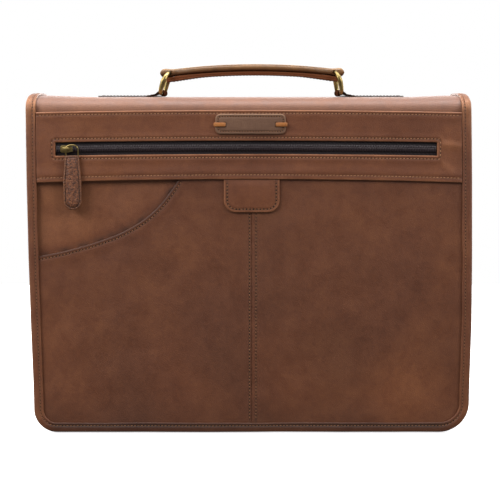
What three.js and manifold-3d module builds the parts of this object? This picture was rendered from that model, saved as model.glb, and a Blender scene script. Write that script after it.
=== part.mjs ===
// Leather document case with a full-length flap, a zipped band, slip pockets and a ring-mounted handle.
// Millimetres, +Z up, the flap faces -Y. The case stands on its two bound bottom seams.

import * as THREE from 'three';
import { mergeVertices } from 'three/addons/utils/BufferGeometryUtils.js';
import Module from 'manifold-3d';

const wasm = await Module();
wasm.setup();

// Overall form
const caseWidth = 400;
const caseHeight = 310.3;
const caseDepth = 90;
const leftCornerRadius = 21;
const rightCornerRadius = 27;
const crownRise = 14;
const crownFullness = 3;
const crownSag = 1.4;
const seamClearance = 0.3;

// Leathers
const coverLeather = 2;
const panelLeather = 1.8;
const gussetLeather = 1.8;
const bindingLeather = 1.6;
const bindingWidth = 9;
const bindingRound = 1.5;

// Body under the flap
const bodyInset = 2;
const wallHeight = 262;
const gussetBackHeight = 282;
const gussetSetback = 0.8;
const flapClearance = 0.6;
const flapLift = 1.2;

// Zipped band across the flap
const bandLow = 230;
const bandHeight = 63.2;
const bandLowBow = 3.4;
const bandHighBow = 4.5;
const windowLength = 342;
const windowHeight = 12;
const windowRise = 24;
const windowBow = 2;
const windowShift = -2.7;
const tapeThickness = 1.1;
const tapeWidth = 12;
const tapeOverhang = 4;
const chainWidth = 5.5;
const chainThickness = 1.6;
const chainSplit = 0.5;

// Zip slider, its ring and the leather pull
const sliderLength = 11;
const sliderHeight = 6.5;
const sliderThickness = 2;
const sliderInset = 4.5;
const sliderNose = 3.6;
const sliderTail = 4.4;
const bridgeLength = 8;
const bridgeWidth = 2.6;
const bridgeThickness = 1;
const pullRingWidth = 11;
const pullRingHeight = 11.5;
const pullRingWire = 1.4;
const pullRingShift = 5;
const pullRingDrop = 8;
const pullRingFootRadius = 2;
const pullRingHeadRadius = 4.5;
const pullWidth = 17;
const pullNeckWidth = 13.4;
const pullLength = 48;
const pullThickness = 3.4;
const pullTopCover = 1.6;
const pullShoulder = 22;
const pullSoftness = 0.8;

// Slip pockets under the band
const pocketSeamShift = 0.9;
const pocketTuck = 10;
const mouthSideHeight = 162;

// Stitched tab and laced patch
const tabWidth = 50;
const tabDrop = 30;
const tabRadius = 11;
const tabShift = 0.9;
const patchWidth = 63;
const patchHeight = 18;
const patchRadius = 4.5;
const patchDrop = 19.2;
const patchLeather = 1.5;
const laceWidth = 3.6;
const laceThickness = 1.1;
const laceReach = 9;
const laceRise = 8.5;

// Handle, its rings and the anchor straps on the crown
const ringWire = 3.6;
const ringDepth = 32;
const ringSpan = 164;
const ringTall = 19.8;
const ringLeans = { left: 7, right: 4.6 };
const ringYaw = 4.5;
const ringFootRadius = 4;
const ringHeadRadius = 9;
const anchorLength = 58;
const anchorWidth = 25;
const anchorLeather = 1;
const gripWidth = 26;
const gripEndWidth = 16;
const gripTaper = 16;
const gripThickness = 6.5;
const gripRise = 4.5;
const gripLoopLeather = 2;
const gripLoopSlack = 0.6;
const gripEndFold = 4.6;
const gripLoopBlend = 5;
const underlayThickness = 3.2;
const underlayWidth = 24;
const underlayPastHead = 3;
const underlayDroop = 1.5;
const plyGap = 0.25;

// Side-to-side wander of the soft outline: height as a share of the case, reach as a share of half its width
const outlineWander = [
  { up: 0, left: 0.993, right: 0.999 },
  { up: 0.13, left: 0.995, right: 1 },
  { up: 0.34, left: 1.003, right: 1.006 },
  { up: 0.52, left: 1.008, right: 1.003 },
  { up: 0.75, left: 1.011, right: 0.997 },
  { up: 1, left: 1.011, right: 0.988 },
];

// Swept mouth of the left slip pocket: shares along the panel to the seam, and of the way up to the band
const mouthCurve = [
  { along: 0, up: 0 },
  { along: 0.15, up: 0.08 },
  { along: 0.29, up: 0.19 },
  { along: 0.4, up: 0.3 },
  { along: 0.48, up: 0.42 },
  { along: 0.55, up: 0.56 },
  { along: 0.61, up: 0.74 },
  { along: 0.66, up: 0.94 },
  { along: 0.69, up: 1.07 },
];

// Facets
const cornerSteps = 5;
const crownSteps = 12;

// Values that follow from the sizes above
const crownHeight = caseHeight - seamClearance - bindingLeather;
const bandHigh = bandLow + bandHeight;
const windowLow = bandLow + windowRise;
const patchLow = bandHigh - patchDrop;
const laceHeight = patchLow + laceRise;
const flatHeight = crownHeight - crownRise;
const edgeInset = bindingLeather + seamClearance;
const coverHalf = caseWidth / 2 - edgeInset;
const bodyHalf = caseWidth / 2 - bodyInset;
const pocketStack = seamClearance + panelLeather;
const gussetStack = seamClearance + gussetLeather;
const bandBack = pocketStack + seamClearance;
const bandFace = bandBack + panelLeather;
const bandHalf = caseWidth / 2 - bindingWidth - seamClearance;
const wallFace = -caseDepth / 2 + coverLeather + 2 * edgeInset + flapClearance;
const sagHalf = ringSpan / 2 + anchorLength;
const cornerRadii = { left: leftCornerRadius, right: rightCornerRadius };

const finish = (color, roughness, metalness = 0) =>
  new THREE.MeshStandardMaterial({ color, roughness, metalness });
const leatherMaterial = (color) => finish(color, 0.55);

// Solids from points

function solid(points, triangles) {
  const cross = new THREE.Vector3();
  let volume = 0;
  for (const [a, b, c] of triangles) {
    volume += cross.crossVectors(points[b], points[c]).dot(points[a]);
  }
  const index = triangles.flatMap(([a, b, c]) => (volume > 0 ? [a, b, c] : [a, c, b]));
  const geometry = new THREE.BufferGeometry();
  geometry.setAttribute('position', new THREE.Float32BufferAttribute(points.flatMap((p) => p.toArray()), 3));
  geometry.setIndex(index);
  geometry.computeVertexNormals();
  return geometry;
}

// Sections joined one after another; an open run is capped with the outline that the sections follow
function loft(sections, outline = null) {
  const count = sections[0].length;
  const runs = outline ? sections.length - 1 : sections.length;
  const triangles = [];
  for (let i = 0; i < runs; i += 1) {
    const here = i * count;
    const next = ((i + 1) % sections.length) * count;
    for (let j = 0; j < count; j += 1) {
      const k = (j + 1) % count;
      triangles.push([here + j, next + j, next + k], [here + j, next + k, here + k]);
    }
  }
  if (outline) {
    const end = runs * count;
    const isClockwise = THREE.ShapeUtils.isClockWise(outline);
    for (const corners of THREE.ShapeUtils.triangulateShape(outline, [])) {
      const [a, b, c] = isClockwise ? corners.reverse() : corners;
      triangles.push([a, b, c], [end + a, end + c, end + b]);
    }
  }
  return solid(sections.flat(), triangles);
}

// A wall with a face and a back; open cells are cut through it
function sheet(rows, isOpen = () => false) {
  const across = rows[0].length;
  const points = rows.flat().flatMap(({ face, back }) => [face, back]);
  const at = (i, j) => 2 * (i * across + j);
  const isLeather = (i, j) =>
    i >= 0 && j >= 0 && i < rows.length - 1 && j < across - 1 && !isOpen(i, j);
  const triangles = [];
  const quad = (a, b, c, d) => triangles.push([a, b, c], [a, c, d]);
  const rim = (a, b) => quad(b, a, a + 1, b + 1);
  for (let i = 0; i < rows.length - 1; i += 1) {
    for (let j = 0; j < across - 1; j += 1) {
      if (!isLeather(i, j)) continue;
      const [a, b, c, d] = [at(i, j), at(i, j + 1), at(i + 1, j + 1), at(i + 1, j)];
      quad(a, b, c, d);
      quad(a + 1, d + 1, c + 1, b + 1);
      if (!isLeather(i - 1, j)) rim(a, b);
      if (!isLeather(i, j + 1)) rim(b, c);
      if (!isLeather(i + 1, j)) rim(c, d);
      if (!isLeather(i, j - 1)) rim(d, a);
    }
  }
  return solid(points, triangles);
}

// Evenly spaced values, both ends included
const spread = (from, to, steps) =>
  Array.from({ length: steps + 1 }, (_, i) => from + ((to - from) * i) / steps);

const degrees = THREE.MathUtils.degToRad;

// The developed cover

// Half section of the crown as a superellipse: full at the shoulders, nearly flat on top
class CrownCurve extends THREE.Curve {
  getPoint(t, target = new THREE.Vector3()) {
    const turn = Math.PI * t;
    const power = 2 / crownFullness;
    const reach = Math.sign(Math.cos(turn)) * Math.abs(Math.cos(turn)) ** power;
    const rise = Math.max(Math.sin(turn), 0) ** power;
    return target.set(0, (-caseDepth / 2) * reach, flatHeight + crownRise * rise);
  }

  normalAt(point) {
    const reach = point.y / (caseDepth / 2);
    const rise = (point.z - flatHeight) / crownRise;
    const power = crownFullness - 1;
    const y = (Math.sign(reach) * Math.abs(reach) ** power) / (caseDepth / 2);
    const z = Math.max(rise, 0) ** power / crownRise;
    return new THREE.Vector3(0, y, z).normalize();
  }
}

const crown = new CrownCurve();
crown.arcLengthDivisions = 800;
const crownLength = crown.getLength();
const sheetLength = 2 * flatHeight + crownLength;

// Reach of the outline at a height, as a share, on the side that x lies on
function wander(x, z) {
  const up = THREE.MathUtils.clamp(z / caseHeight, 0, 1);
  const above = Math.max(outlineWander.findIndex((row) => row.up >= up), 1);
  const [low, high] = [outlineWander[above - 1], outlineWander[above]];
  const side = x < 0 ? 'left' : 'right';
  return THREE.MathUtils.mapLinear(up, low.up, high.up, low[side], high[side]);
}

const settle = (point) => point.setX(point.x * wander(point.x, point.z));

// The crown sinks between its two stiff bindings
const sagShare = (x) => 1 - THREE.MathUtils.smoothstep(Math.abs(x), sagHalf, caseWidth / 2 - bindingWidth);

// x across, s along the cover from the flap's floor level over the crown to the back's, n out of its face
function wrap(x, s, n) {
  if (s <= flatHeight) return settle(new THREE.Vector3(x, -caseDepth / 2 - n, s));
  const past = s - flatHeight;
  if (past >= crownLength) {
    return settle(new THREE.Vector3(x, caseDepth / 2 + n, flatHeight - (past - crownLength)));
  }
  const point = crown.getPointAt(past / crownLength);
  point.addScaledVector(crown.normalAt(point), n);
  point.x = x;
  point.z -= crownSag * sagShare(x) * Math.sin((Math.PI * past) / crownLength);
  return settle(point);
}

// Height of a rounded bottom corner at x, for an outline with this half width
function cornerLift(x, half, inset) {
  const radius = (x < 0 ? cornerRadii.left : cornerRadii.right) - inset;
  const past = Math.abs(x) - (half - radius);
  return past > 0 ? radius - Math.sqrt(Math.max(radius ** 2 - past ** 2, 0)) : 0;
}

// Columns across a rounded outline, close together at its corners
function columnsAcross(half, inset, middleColumns = []) {
  const corner = (radius) =>
    spread(0, 90, cornerSteps).map((angle) => half - radius * (1 - Math.cos(degrees(angle))));
  const left = corner(cornerRadii.left - inset).map((x) => -x);
  const right = corner(cornerRadii.right - inset).reverse();
  return [...left, ...middleColumns, ...right];
}

// Stations down the left side, round both bottom corners and up the right side
function edgeStations(half, lowest, inset, levels) {
  const side = (sign, radius) => [
    ...levels
      .filter((level) => level > lowest + radius + 1)
      .map((level) => ({ x: sign * half, level, outX: sign, outUp: 0 })),
    ...spread(0, 90, cornerSteps).map((angle) => {
      const [outX, outUp] = [sign * Math.cos(degrees(angle)), -Math.sin(degrees(angle))];
      return {
        x: sign * (half - radius) + radius * outX,
        level: lowest + radius + radius * outUp,
        outX,
        outUp,
      };
    }),
  ];
  return [...side(-1, cornerRadii.left - inset), ...side(1, cornerRadii.right - inset).reverse()];
}

// Section of a folded binding: across is 0 at its outer edge, out is 0 on the face of the leather it holds
function bindingOutline(leather, frontStack, backStack) {
  const face = seamClearance + frontStack;
  const back = -(leather + seamClearance + backStack);
  const [top, low] = [face + bindingLeather, back - bindingLeather];
  const turn = (angle, level) =>
    new THREE.Vector2(
      bindingRound * (Math.cos(degrees(angle)) - 1),
      level + bindingRound * Math.sin(degrees(angle)),
    );
  return [
    new THREE.Vector2(-bindingWidth, low),
    ...spread(-90, 0, 3).map((angle) => turn(angle, low + bindingRound)),
    ...spread(0, 90, 3).map((angle) => turn(angle, top - bindingRound)),
    new THREE.Vector2(-bindingWidth, top),
    new THREE.Vector2(-bindingWidth, face),
    new THREE.Vector2(-bindingLeather, face),
    new THREE.Vector2(-bindingLeather, back),
    new THREE.Vector2(-bindingWidth, back),
  ];
}

// 1 up to the first level, easing to 0 at the second
const easeOff = (level, from, to) => 1 - THREE.MathUtils.smoothstep(level, from, to);

// Bowed line: its height at the sides plus a share of the bow
const bowed = (x, height, bow) => height + bow * (1 - (x / (caseWidth / 2)) ** 2);

// Cover, flap bindings and back binding

const frontLevels = [0.07, 0.2, 0.37, 0.54, 0.71, 0.85, 0.95].map((share) => share * flatHeight);
const crownLevels = spread(flatHeight, flatHeight + crownLength, crownSteps);

function coverSheet() {
  const columns = columnsAcross(coverHalf, edgeInset, spread(-sagHalf, sagHalf, 6));
  const rows = [
    ...spread(0, 0.9, 4).map((share) => ({ low: 'front', share })),
    ...crownLevels.map((s) => ({ low: 'crown', s })),
    ...spread(0.1, 1, 4).map((share) => ({ low: 'back', share })),
  ];
  return sheet(
    rows.map(({ low, share, s }) =>
      columns.map((x) => {
        const lift = edgeInset + cornerLift(x, coverHalf, edgeInset);
        const place = {
          front: () => THREE.MathUtils.lerp(flapLift + lift, flatHeight, share),
          crown: () => s,
          back: () => THREE.MathUtils.lerp(flatHeight + crownLength, sheetLength - lift, share),
        }[low]();
        return { face: wrap(x, place, 0), back: wrap(x, place, -coverLeather) };
      }),
    ),
  );
}

function flapBinding() {
  const levels = [...frontLevels, ...crownLevels];
  levels[levels.length - 1] -= seamClearance / 2;
  const stations = edgeStations(caseWidth / 2, flapLift, 0, levels.reverse());
  const stack = (level) => pocketStack * easeOff(level, flatHeight, flatHeight + crownRise);
  const sections = stations.map(({ x, level, outX, outUp }) =>
    bindingOutline(coverLeather, stack(level), 0).map((p) =>
      wrap(x + outX * p.x, level + outUp * p.x, p.y),
    ),
  );
  return loft(sections, bindingOutline(coverLeather, 0, 0));
}

function backBinding() {
  const levels = [...frontLevels, flatHeight - seamClearance / 2].reverse();
  const stations = edgeStations(caseWidth / 2, 0, 0, levels);
  const stack = (level) => gussetStack * easeOff(level, gussetBackHeight, flatHeight);
  const sections = stations.map(({ x, level, outX, outUp }) =>
    bindingOutline(coverLeather, 0, stack(level)).map((p) =>
      wrap(x + outX * p.x, sheetLength - level - outUp * p.x, p.y),
    ),
  );
  return loft(sections, bindingOutline(coverLeather, 0, 0));
}

// Body: front wall, its binding and the gusset

function frontWall() {
  const half = bodyHalf - edgeInset;
  const inset = bodyInset + edgeInset;
  const columns = columnsAcross(half, inset, spread(-half / 2, half / 2, 2));
  return sheet(
    spread(0, 1, 4).map((share) =>
      columns.map((x) => {
        const z = THREE.MathUtils.lerp(edgeInset + cornerLift(x, half, inset), wallHeight, share);
        return {
          face: settle(new THREE.Vector3(x, wallFace, z)),
          back: settle(new THREE.Vector3(x, wallFace + coverLeather, z)),
        };
      }),
    ),
  );
}

function wallBinding() {
  const levels = [...frontLevels.filter((level) => level < wallHeight - 1), wallHeight].reverse();
  const stations = edgeStations(bodyHalf, 0, bodyInset, levels);
  const outline = bindingOutline(coverLeather, 0, gussetStack);
  const sections = stations.map(({ x, level, outX, outUp }) =>
    outline.map((p) =>
      settle(new THREE.Vector3(x + outX * p.x, wallFace - p.y, level + outUp * p.x)),
    ),
  );
  return loft(sections, outline);
}

// Side and bottom strip with a seam flange along both edges, its top sloping up to the back
function gussetStrip() {
  const setback = bindingWidth + gussetSetback;
  const flange = setback - edgeInset;
  const front = wallFace + coverLeather + seamClearance;
  const rear = caseDepth / 2 - coverLeather - seamClearance;
  const outline = [
    [flange, front],
    [flange, front + gussetLeather],
    [0, front + gussetLeather],
    [0, rear - gussetLeather],
    [flange, rear - gussetLeather],
    [flange, rear],
    [-gussetLeather, rear],
    [-gussetLeather, front],
  ].map(([out, y]) => new THREE.Vector2(out, y));
  const levels = [...frontLevels.filter((level) => level < wallHeight - 10), wallHeight].reverse();
  const stations = edgeStations(bodyHalf - setback, setback, bodyInset + setback, levels);
  const sections = stations.map(({ x, level, outX, outUp }) =>
    outline.map((p) => {
      const slope = THREE.MathUtils.mapLinear(p.y, front, rear, wallHeight, gussetBackHeight);
      const z = level === wallHeight ? slope : level + outUp * p.x;
      return settle(new THREE.Vector3(x + outX * p.x, p.y, z));
    }),
  );
  return loft(sections, outline);
}

// Flap face: slip pockets, zipped band, tab and patch

// A panel laid on the cover: columns of x with a low and a high edge, back and face heights
function laidPanel(columns, lowEdge, highEdge, back, face, rows = 1) {
  return sheet(
    spread(0, 1, rows).map((share) =>
      columns.map((x) => {
        const s = THREE.MathUtils.lerp(lowEdge(x), highEdge(x), share);
        return { face: wrap(x, s, face), back: wrap(x, s, back) };
      }),
    ),
  );
}

const bandLowEdge = (x) => bowed(x, bandLow, bandLowBow);
const bandHighEdge = (x) => bowed(x, bandHigh, bandHighBow);
const pocketLowEdge = (x) => flapLift + edgeInset + cornerLift(x, coverHalf, edgeInset);
const pocketHighEdge = (x) => bandLowEdge(x) + pocketTuck;

function pocketPanelLeft() {
  const seam = pocketSeamShift - seamClearance / 2;
  const alongPanel = (share) => THREE.MathUtils.lerp(-coverHalf, seam, share);
  const bandRise = bandLow + bandLowBow - mouthSideHeight;
  const mouth = mouthCurve.map(({ along, up }) => [alongPanel(along), mouthSideHeight + bandRise * up]);
  const mouthEnd = mouth.at(-1)[0];
  const highEdge = (x) => {
    if (x >= mouthEnd) return pocketHighEdge(x);
    const above = Math.max(mouth.findIndex(([place]) => place >= x), 1);
    const [[x0, z0], [x1, z1]] = [mouth[above - 1], mouth[above]];
    return Math.min(THREE.MathUtils.mapLinear(x, x0, x1, z0, z1), pocketHighEdge(x));
  };
  const corner = columnsAcross(coverHalf, edgeInset).slice(1, cornerSteps + 1);
  const columns = [...mouth.map(([x]) => x), ...corner, ...spread(mouthEnd, seam, 3).slice(1)];
  columns.sort((a, b) => a - b);
  return laidPanel(columns, pocketLowEdge, highEdge, seamClearance, pocketStack, 4);
}

function pocketPanelRight() {
  const seam = pocketSeamShift + seamClearance / 2;
  const corner = columnsAcross(coverHalf, edgeInset).slice(-cornerSteps - 1);
  const columns = [...spread(seam, corner[0], 4).slice(0, -1), ...corner];
  return laidPanel(columns, pocketLowEdge, pocketHighEdge, seamClearance, pocketStack, 4);
}

const windowLeft = windowShift - windowLength / 2;
const windowRight = windowShift + windowLength / 2;
const windowLowEdge = (x) => bowed(x, windowLow, windowBow);
const windowHighEdge = (x) => windowLowEdge(x) + windowHeight;
const windowMiddle = (x) => windowLowEdge(x) + windowHeight / 2;

function zipBand() {
  const columns = [-bandHalf, ...spread(windowLeft, windowRight, 16), bandHalf];
  const edges = [
    bandLowEdge,
    windowLowEdge,
    windowHighEdge,
    (x) => THREE.MathUtils.lerp(windowHighEdge(x), bandHighEdge(x), 0.8),
    bandHighEdge,
  ];
  const rows = edges.map((edge) =>
    columns.map((x) => ({ face: wrap(x, edge(x), bandFace), back: wrap(x, edge(x), bandBack) })),
  );
  return sheet(rows, (i, j) => i === 1 && j > 0 && j < columns.length - 2);
}

const tapeColumns = spread(windowLeft - tapeOverhang, windowRight + tapeOverhang, 12);

function zipTape(lowEdge, highEdge) {
  const face = bandBack - seamClearance;
  return laidPanel(tapeColumns, lowEdge, highEdge, face - tapeThickness, face);
}

const tapeSplit = (side) => (x) => windowMiddle(x) + (side * seamClearance) / 2;
const tapeEdge = (side) => (x) => windowMiddle(x) + side * tapeWidth;

const chainBack = bandBack;
const chainFace = chainBack + chainThickness;
const sliderLeft = windowLeft + sliderInset;
const sliderMiddle = sliderLeft + sliderLength / 2;

function zipChain() {
  const columns = spread(windowLeft + chainSplit, windowRight - chainSplit, 12);
  const lowEdge = (x) => windowMiddle(x) - chainWidth / 2;
  const highEdge = (x) => windowMiddle(x) + chainWidth / 2;
  return laidPanel(columns, lowEdge, highEdge, chainBack, chainFace);
}

// Booleans

function toManifold(geometry) {
  const bare = geometry.clone();
  bare.deleteAttribute('normal');
  bare.deleteAttribute('uv');
  const merged = mergeVertices(bare, 1e-4);
  return new wasm.Manifold(
    new wasm.Mesh({
      numProp: 3,
      vertProperties: new Float32Array(merged.attributes.position.array),
      triVerts: new Uint32Array(merged.index.array),
    }),
  );
}

function fromManifold(body) {
  const mesh = body.getMesh();
  const geometry = new THREE.BufferGeometry();
  geometry.setAttribute('position', new THREE.BufferAttribute(mesh.vertProperties, mesh.numProp));
  geometry.setIndex(new THREE.BufferAttribute(mesh.triVerts, 1));
  geometry.computeVertexNormals();
  return geometry;
}

// Rounded rectangle of wire in a plane: across is horizontal, up is vertical, leaning as up grows
function wireLoop({ width, height, footRadius, headRadius, wire, sides, steps, place }) {
  const half = width / 2;
  const corners = [
    { across: half - footRadius, up: footRadius, radius: footRadius, from: -90 },
    { across: half - headRadius, up: height - headRadius, radius: headRadius, from: 0 },
    { across: headRadius - half, up: height - headRadius, radius: headRadius, from: 90 },
    { across: footRadius - half, up: footRadius, radius: footRadius, from: 180 },
  ];
  const stations = corners.flatMap(({ across, up, radius, from }) =>
    spread(from, from + 90, steps).map((angle) => {
      const out = new THREE.Vector2(Math.cos(degrees(angle)), Math.sin(degrees(angle)));
      return { centre: new THREE.Vector2(across, up).addScaledVector(out, radius), out };
    }),
  );
  const turns = spread(0, 360, sides).slice(0, -1);
  return loft(
    stations.map(({ centre, out }) =>
      turns.map((turn) => {
        const flat = centre.clone().addScaledVector(out, (wire / 2) * Math.cos(degrees(turn)));
        return place(flat.x, flat.y, (wire / 2) * Math.sin(degrees(turn)));
      }),
    ),
  );
}

// Zip slider, its ring and the leather pull: x across, z up, n out of the flap's face

const onFlap = (x, z, n) => settle(new THREE.Vector3(x, -caseDepth / 2 - n, z));
const sliderHeightMiddle = windowMiddle(sliderMiddle);
const sliderBack = chainFace + seamClearance;
const sliderFace = sliderBack + sliderThickness;
const pullRingLevel = sliderFace + seamClearance + pullRingWire / 2;
const pullRingCentre = sliderMiddle + pullRingShift;
const pullRingLow = sliderHeightMiddle - pullRingDrop;
const bridgeBack = pullRingLevel + pullRingWire / 2 + seamClearance;
const pullBack = bandFace + seamClearance;
const pullMiddle = pullBack + pullThickness / 2;
const pullTop = pullRingLow + pullRingWire / 2 + pullTopCover;

// Prism standing on the flap, from its outline in x and z
function prismOnFlap(outlines, levels) {
  return loft(
    outlines.map((outline, i) => outline.map((p) => onFlap(p.x, p.y, levels[i]))),
    outlines[0],
  );
}

function zipSlider() {
  const [nose, tail, wide] = [sliderNose / 2, sliderTail / 2, sliderHeight / 2];
  const plate = [
    [0, -nose],
    [0.15, -wide],
    [0.6, -wide],
    [1, -tail],
    [1, tail],
    [0.6, wide],
    [0.15, wide],
    [0, nose],
  ].map(([along, up]) => new THREE.Vector2(sliderLeft + along * sliderLength, sliderHeightMiddle + up));
  const centre = pullRingCentre - pullRingWidth / 2;
  const [half, post] = [bridgeLength / 2, bridgeLength / 2 - bridgeThickness];
  const foot = sliderFace - sliderThickness / 2;
  const arch = [
    [-half, foot],
    [-post, foot],
    [-post, bridgeBack],
    [post, bridgeBack],
    [post, foot],
    [half, foot],
    [half, bridgeBack],
    [post, bridgeBack + bridgeThickness],
    [-post, bridgeBack + bridgeThickness],
    [-half, bridgeBack],
  ].map(([along, n]) => new THREE.Vector2(centre + along, n));
  const bridge = loft(
    [-bridgeWidth / 2, bridgeWidth / 2].map((up) =>
      arch.map((p) => onFlap(p.x, sliderHeightMiddle + up, p.y)),
    ),
    arch,
  );
  const body = prismOnFlap([plate, plate], [sliderBack, sliderFace]);
  return fromManifold(toManifold(body).add(toManifold(bridge)));
}

// The ring passes under the slider's bridge on its left and through the pull at its foot
function pullRing(clearance = 0) {
  const lean = (pullRingLevel - pullMiddle) / pullRingDrop;
  return wireLoop({
    width: pullRingWidth,
    height: pullRingHeight,
    footRadius: pullRingFootRadius,
    headRadius: pullRingHeadRadius,
    wire: pullRingWire + 2 * clearance,
    sides: 6,
    steps: 4,
    place: (across, up, side) =>
      onFlap(pullRingCentre + across, pullRingLow + up, pullMiddle + lean * up + side),
  });
}

function leatherPull() {
  const outline = (inset) => {
    const [neck, half] = [pullNeckWidth / 2 - inset, pullWidth / 2 - inset];
    const endCentre = pullTop - pullLength + pullWidth / 2;
    const points = [
      [neck, pullTop - inset],
      [-neck, pullTop - inset],
      [-half, pullTop - pullShoulder],
      ...spread(180, 360, 8).map((angle) => [
        half * Math.cos(degrees(angle)),
        endCentre + half * Math.sin(degrees(angle)),
      ]),
      [half, pullTop - pullShoulder],
    ];
    return points.map(([x, z]) => new THREE.Vector2(pullRingCentre + x, z));
  };
  const levels = [0, pullSoftness, pullThickness - pullSoftness, pullThickness].map((n) => pullBack + n);
  const strip = prismOnFlap([pullSoftness, 0, 0, pullSoftness].map(outline), levels);
  return fromManifold(toManifold(strip).subtract(toManifold(pullRing(seamClearance))));
}

// Tab hanging from under the band, and the bare patch with its two laces

function pocketTab() {
  const half = tabWidth / 2;
  const lift = (x) => {
    const past = Math.abs(x - tabShift) - (half - tabRadius);
    return past > 0 ? tabRadius - Math.sqrt(Math.max(tabRadius ** 2 - past ** 2, 0)) : 0;
  };
  const arc = spread(0, 90, cornerSteps).map((angle) => half - tabRadius * (1 - Math.cos(degrees(angle))));
  const columns = [...arc.map((x) => -x), 0, ...arc.reverse()].map((x) => tabShift + x);
  const lowEdge = (x) => bandLow + bandLowBow - tabDrop + lift(x);
  const highEdge = (x) => bandLowEdge(x) - seamClearance;
  return laidPanel(columns, lowEdge, highEdge, bandBack, bandBack + panelLeather);
}

const patchBack = bandFace + seamClearance;
const patchFace = patchBack + patchLeather;

function namePatch() {
  const [half, tall] = [patchWidth / 2, patchHeight / 2];
  const corners = [
    { x: half - patchRadius, z: patchRadius - tall, from: -90 },
    { x: half - patchRadius, z: tall - patchRadius, from: 0 },
    { x: patchRadius - half, z: tall - patchRadius, from: 90 },
    { x: patchRadius - half, z: patchRadius - tall, from: 180 },
  ];
  const outline = corners.flatMap(({ x, z, from }) =>
    spread(from, from + 90, 3).map(
      (angle) =>
        new THREE.Vector2(
          x + patchRadius * Math.cos(degrees(angle)),
          patchLow + tall + z + patchRadius * Math.sin(degrees(angle)),
        ),
    ),
  );
  return prismOnFlap([outline, outline], [patchBack, patchFace]);
}

// A lace lies on the patch and turns down over its edge to the band
function patchLace(side) {
  const low = patchFace + seamClearance;
  const [inner, outer] = [seamClearance, seamClearance + laceThickness];
  const outline = [
    [-laceReach, low],
    [inner, low],
    [inner, patchBack],
    [outer, patchBack],
    [outer, low],
    [inner, low + laceThickness],
    [-laceReach, low + laceThickness],
  ].map(([out, n]) => new THREE.Vector2(side * (patchWidth / 2 + out), n));
  const sections = [laceHeight - laceWidth / 2, laceHeight + laceWidth / 2].map((z) =>
    outline.map((p) => onFlap(p.x, z, p.y)),
  );
  return loft(sections, outline);
}

// Handle: every ring and anchor is drawn about the ring's foot, +X towards the middle of the case

const anchorLoop = ringWire / 2 + seamClearance + anchorLeather / 2;
const footHeight = crownHeight - crownSag + seamClearance + anchorLoop + anchorLeather / 2;

// Middle of a ring's head: the rings lean in towards the middle of the case, and so carry the grip
const ringHead = (side, sign) =>
  new THREE.Vector2(
    sign * (ringSpan / 2 - ringLeans[side]),
    footHeight + Math.sqrt(ringTall ** 2 - ringLeans[side] ** 2),
  );
const [leftHead, rightHead] = [ringHead('left', -1), ringHead('right', 1)];
const headReach = leftHead.distanceTo(rightHead) / 2;

function handleRing(side) {
  return wireLoop({
    width: ringDepth,
    height: ringTall,
    footRadius: ringFootRadius,
    headRadius: ringHeadRadius,
    wire: ringWire,
    sides: 8,
    steps: 4,
    place: (across, up, out) => {
      const lean = Math.asin(ringLeans[side] / ringTall);
      return new THREE.Vector3(
        up * Math.sin(lean) + out * Math.cos(lean),
        across,
        up * Math.cos(lean) - out * Math.sin(lean),
      );
    },
  });
}

// A strap folded round the ring's foot, both plies lying on the crown
function anchorStrap() {
  const low = -anchorLoop;
  const high = low + anchorLeather + plyGap;
  const run = [0, 0.5, 0.85].map((share) => -anchorLength * (1 - share));
  const path = [
    ...run.map((x) => [x, low]),
    ...spread(-90, 150, 8).map((angle) => [
      anchorLoop * Math.cos(degrees(angle)),
      anchorLoop * Math.sin(degrees(angle)),
    ]),
    ...run.reverse().map((x) => [x, high]),
  ].map(([x, z]) => new THREE.Vector2(x, z));
  const [half, ply] = [anchorWidth / 2, anchorLeather / 2];
  const outline = [
    [-half, -ply],
    [half, -ply],
    [half, ply],
    [-half, ply],
  ].map(([y, out]) => new THREE.Vector2(y, out));
  const sections = path.map((point, i) => {
    const before = path[Math.max(i - 1, 0)];
    const after = path[Math.min(i + 1, path.length - 1)];
    const along = after.clone().sub(before).normalize();
    return outline.map(
      (p) => new THREE.Vector3(point.x + along.y * p.y, p.x, point.y - along.x * p.y),
    );
  });
  return loft(sections, outline);
}

// The grip and its underlay are drawn about the middle of the line between the two heads
const gripMiddle = (x) => gripRise * (1 - (x / headReach) ** 2);
const gripShoulder = headReach - gripLoopBlend;
const gripHalfWidth = (x, width) => {
  const narrowed = THREE.MathUtils.smoothstep(Math.abs(x), gripShoulder - gripTaper, gripShoulder);
  return THREE.MathUtils.lerp(width, gripEndWidth, narrowed) / 2;
};

// Rounded section across the handle
function gripSection(x, middle, halfWidth, halfThickness) {
  return spread(0, 360, 12)
    .slice(0, -1)
    .map((angle) => {
      const [side, up] = [Math.cos(degrees(angle)), Math.sin(degrees(angle))];
      return new THREE.Vector3(
        x,
        halfWidth * Math.sign(side) * Math.abs(side) ** 0.5,
        middle + halfThickness * Math.sign(up) * Math.abs(up) ** 0.7,
      );
    });
}

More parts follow.
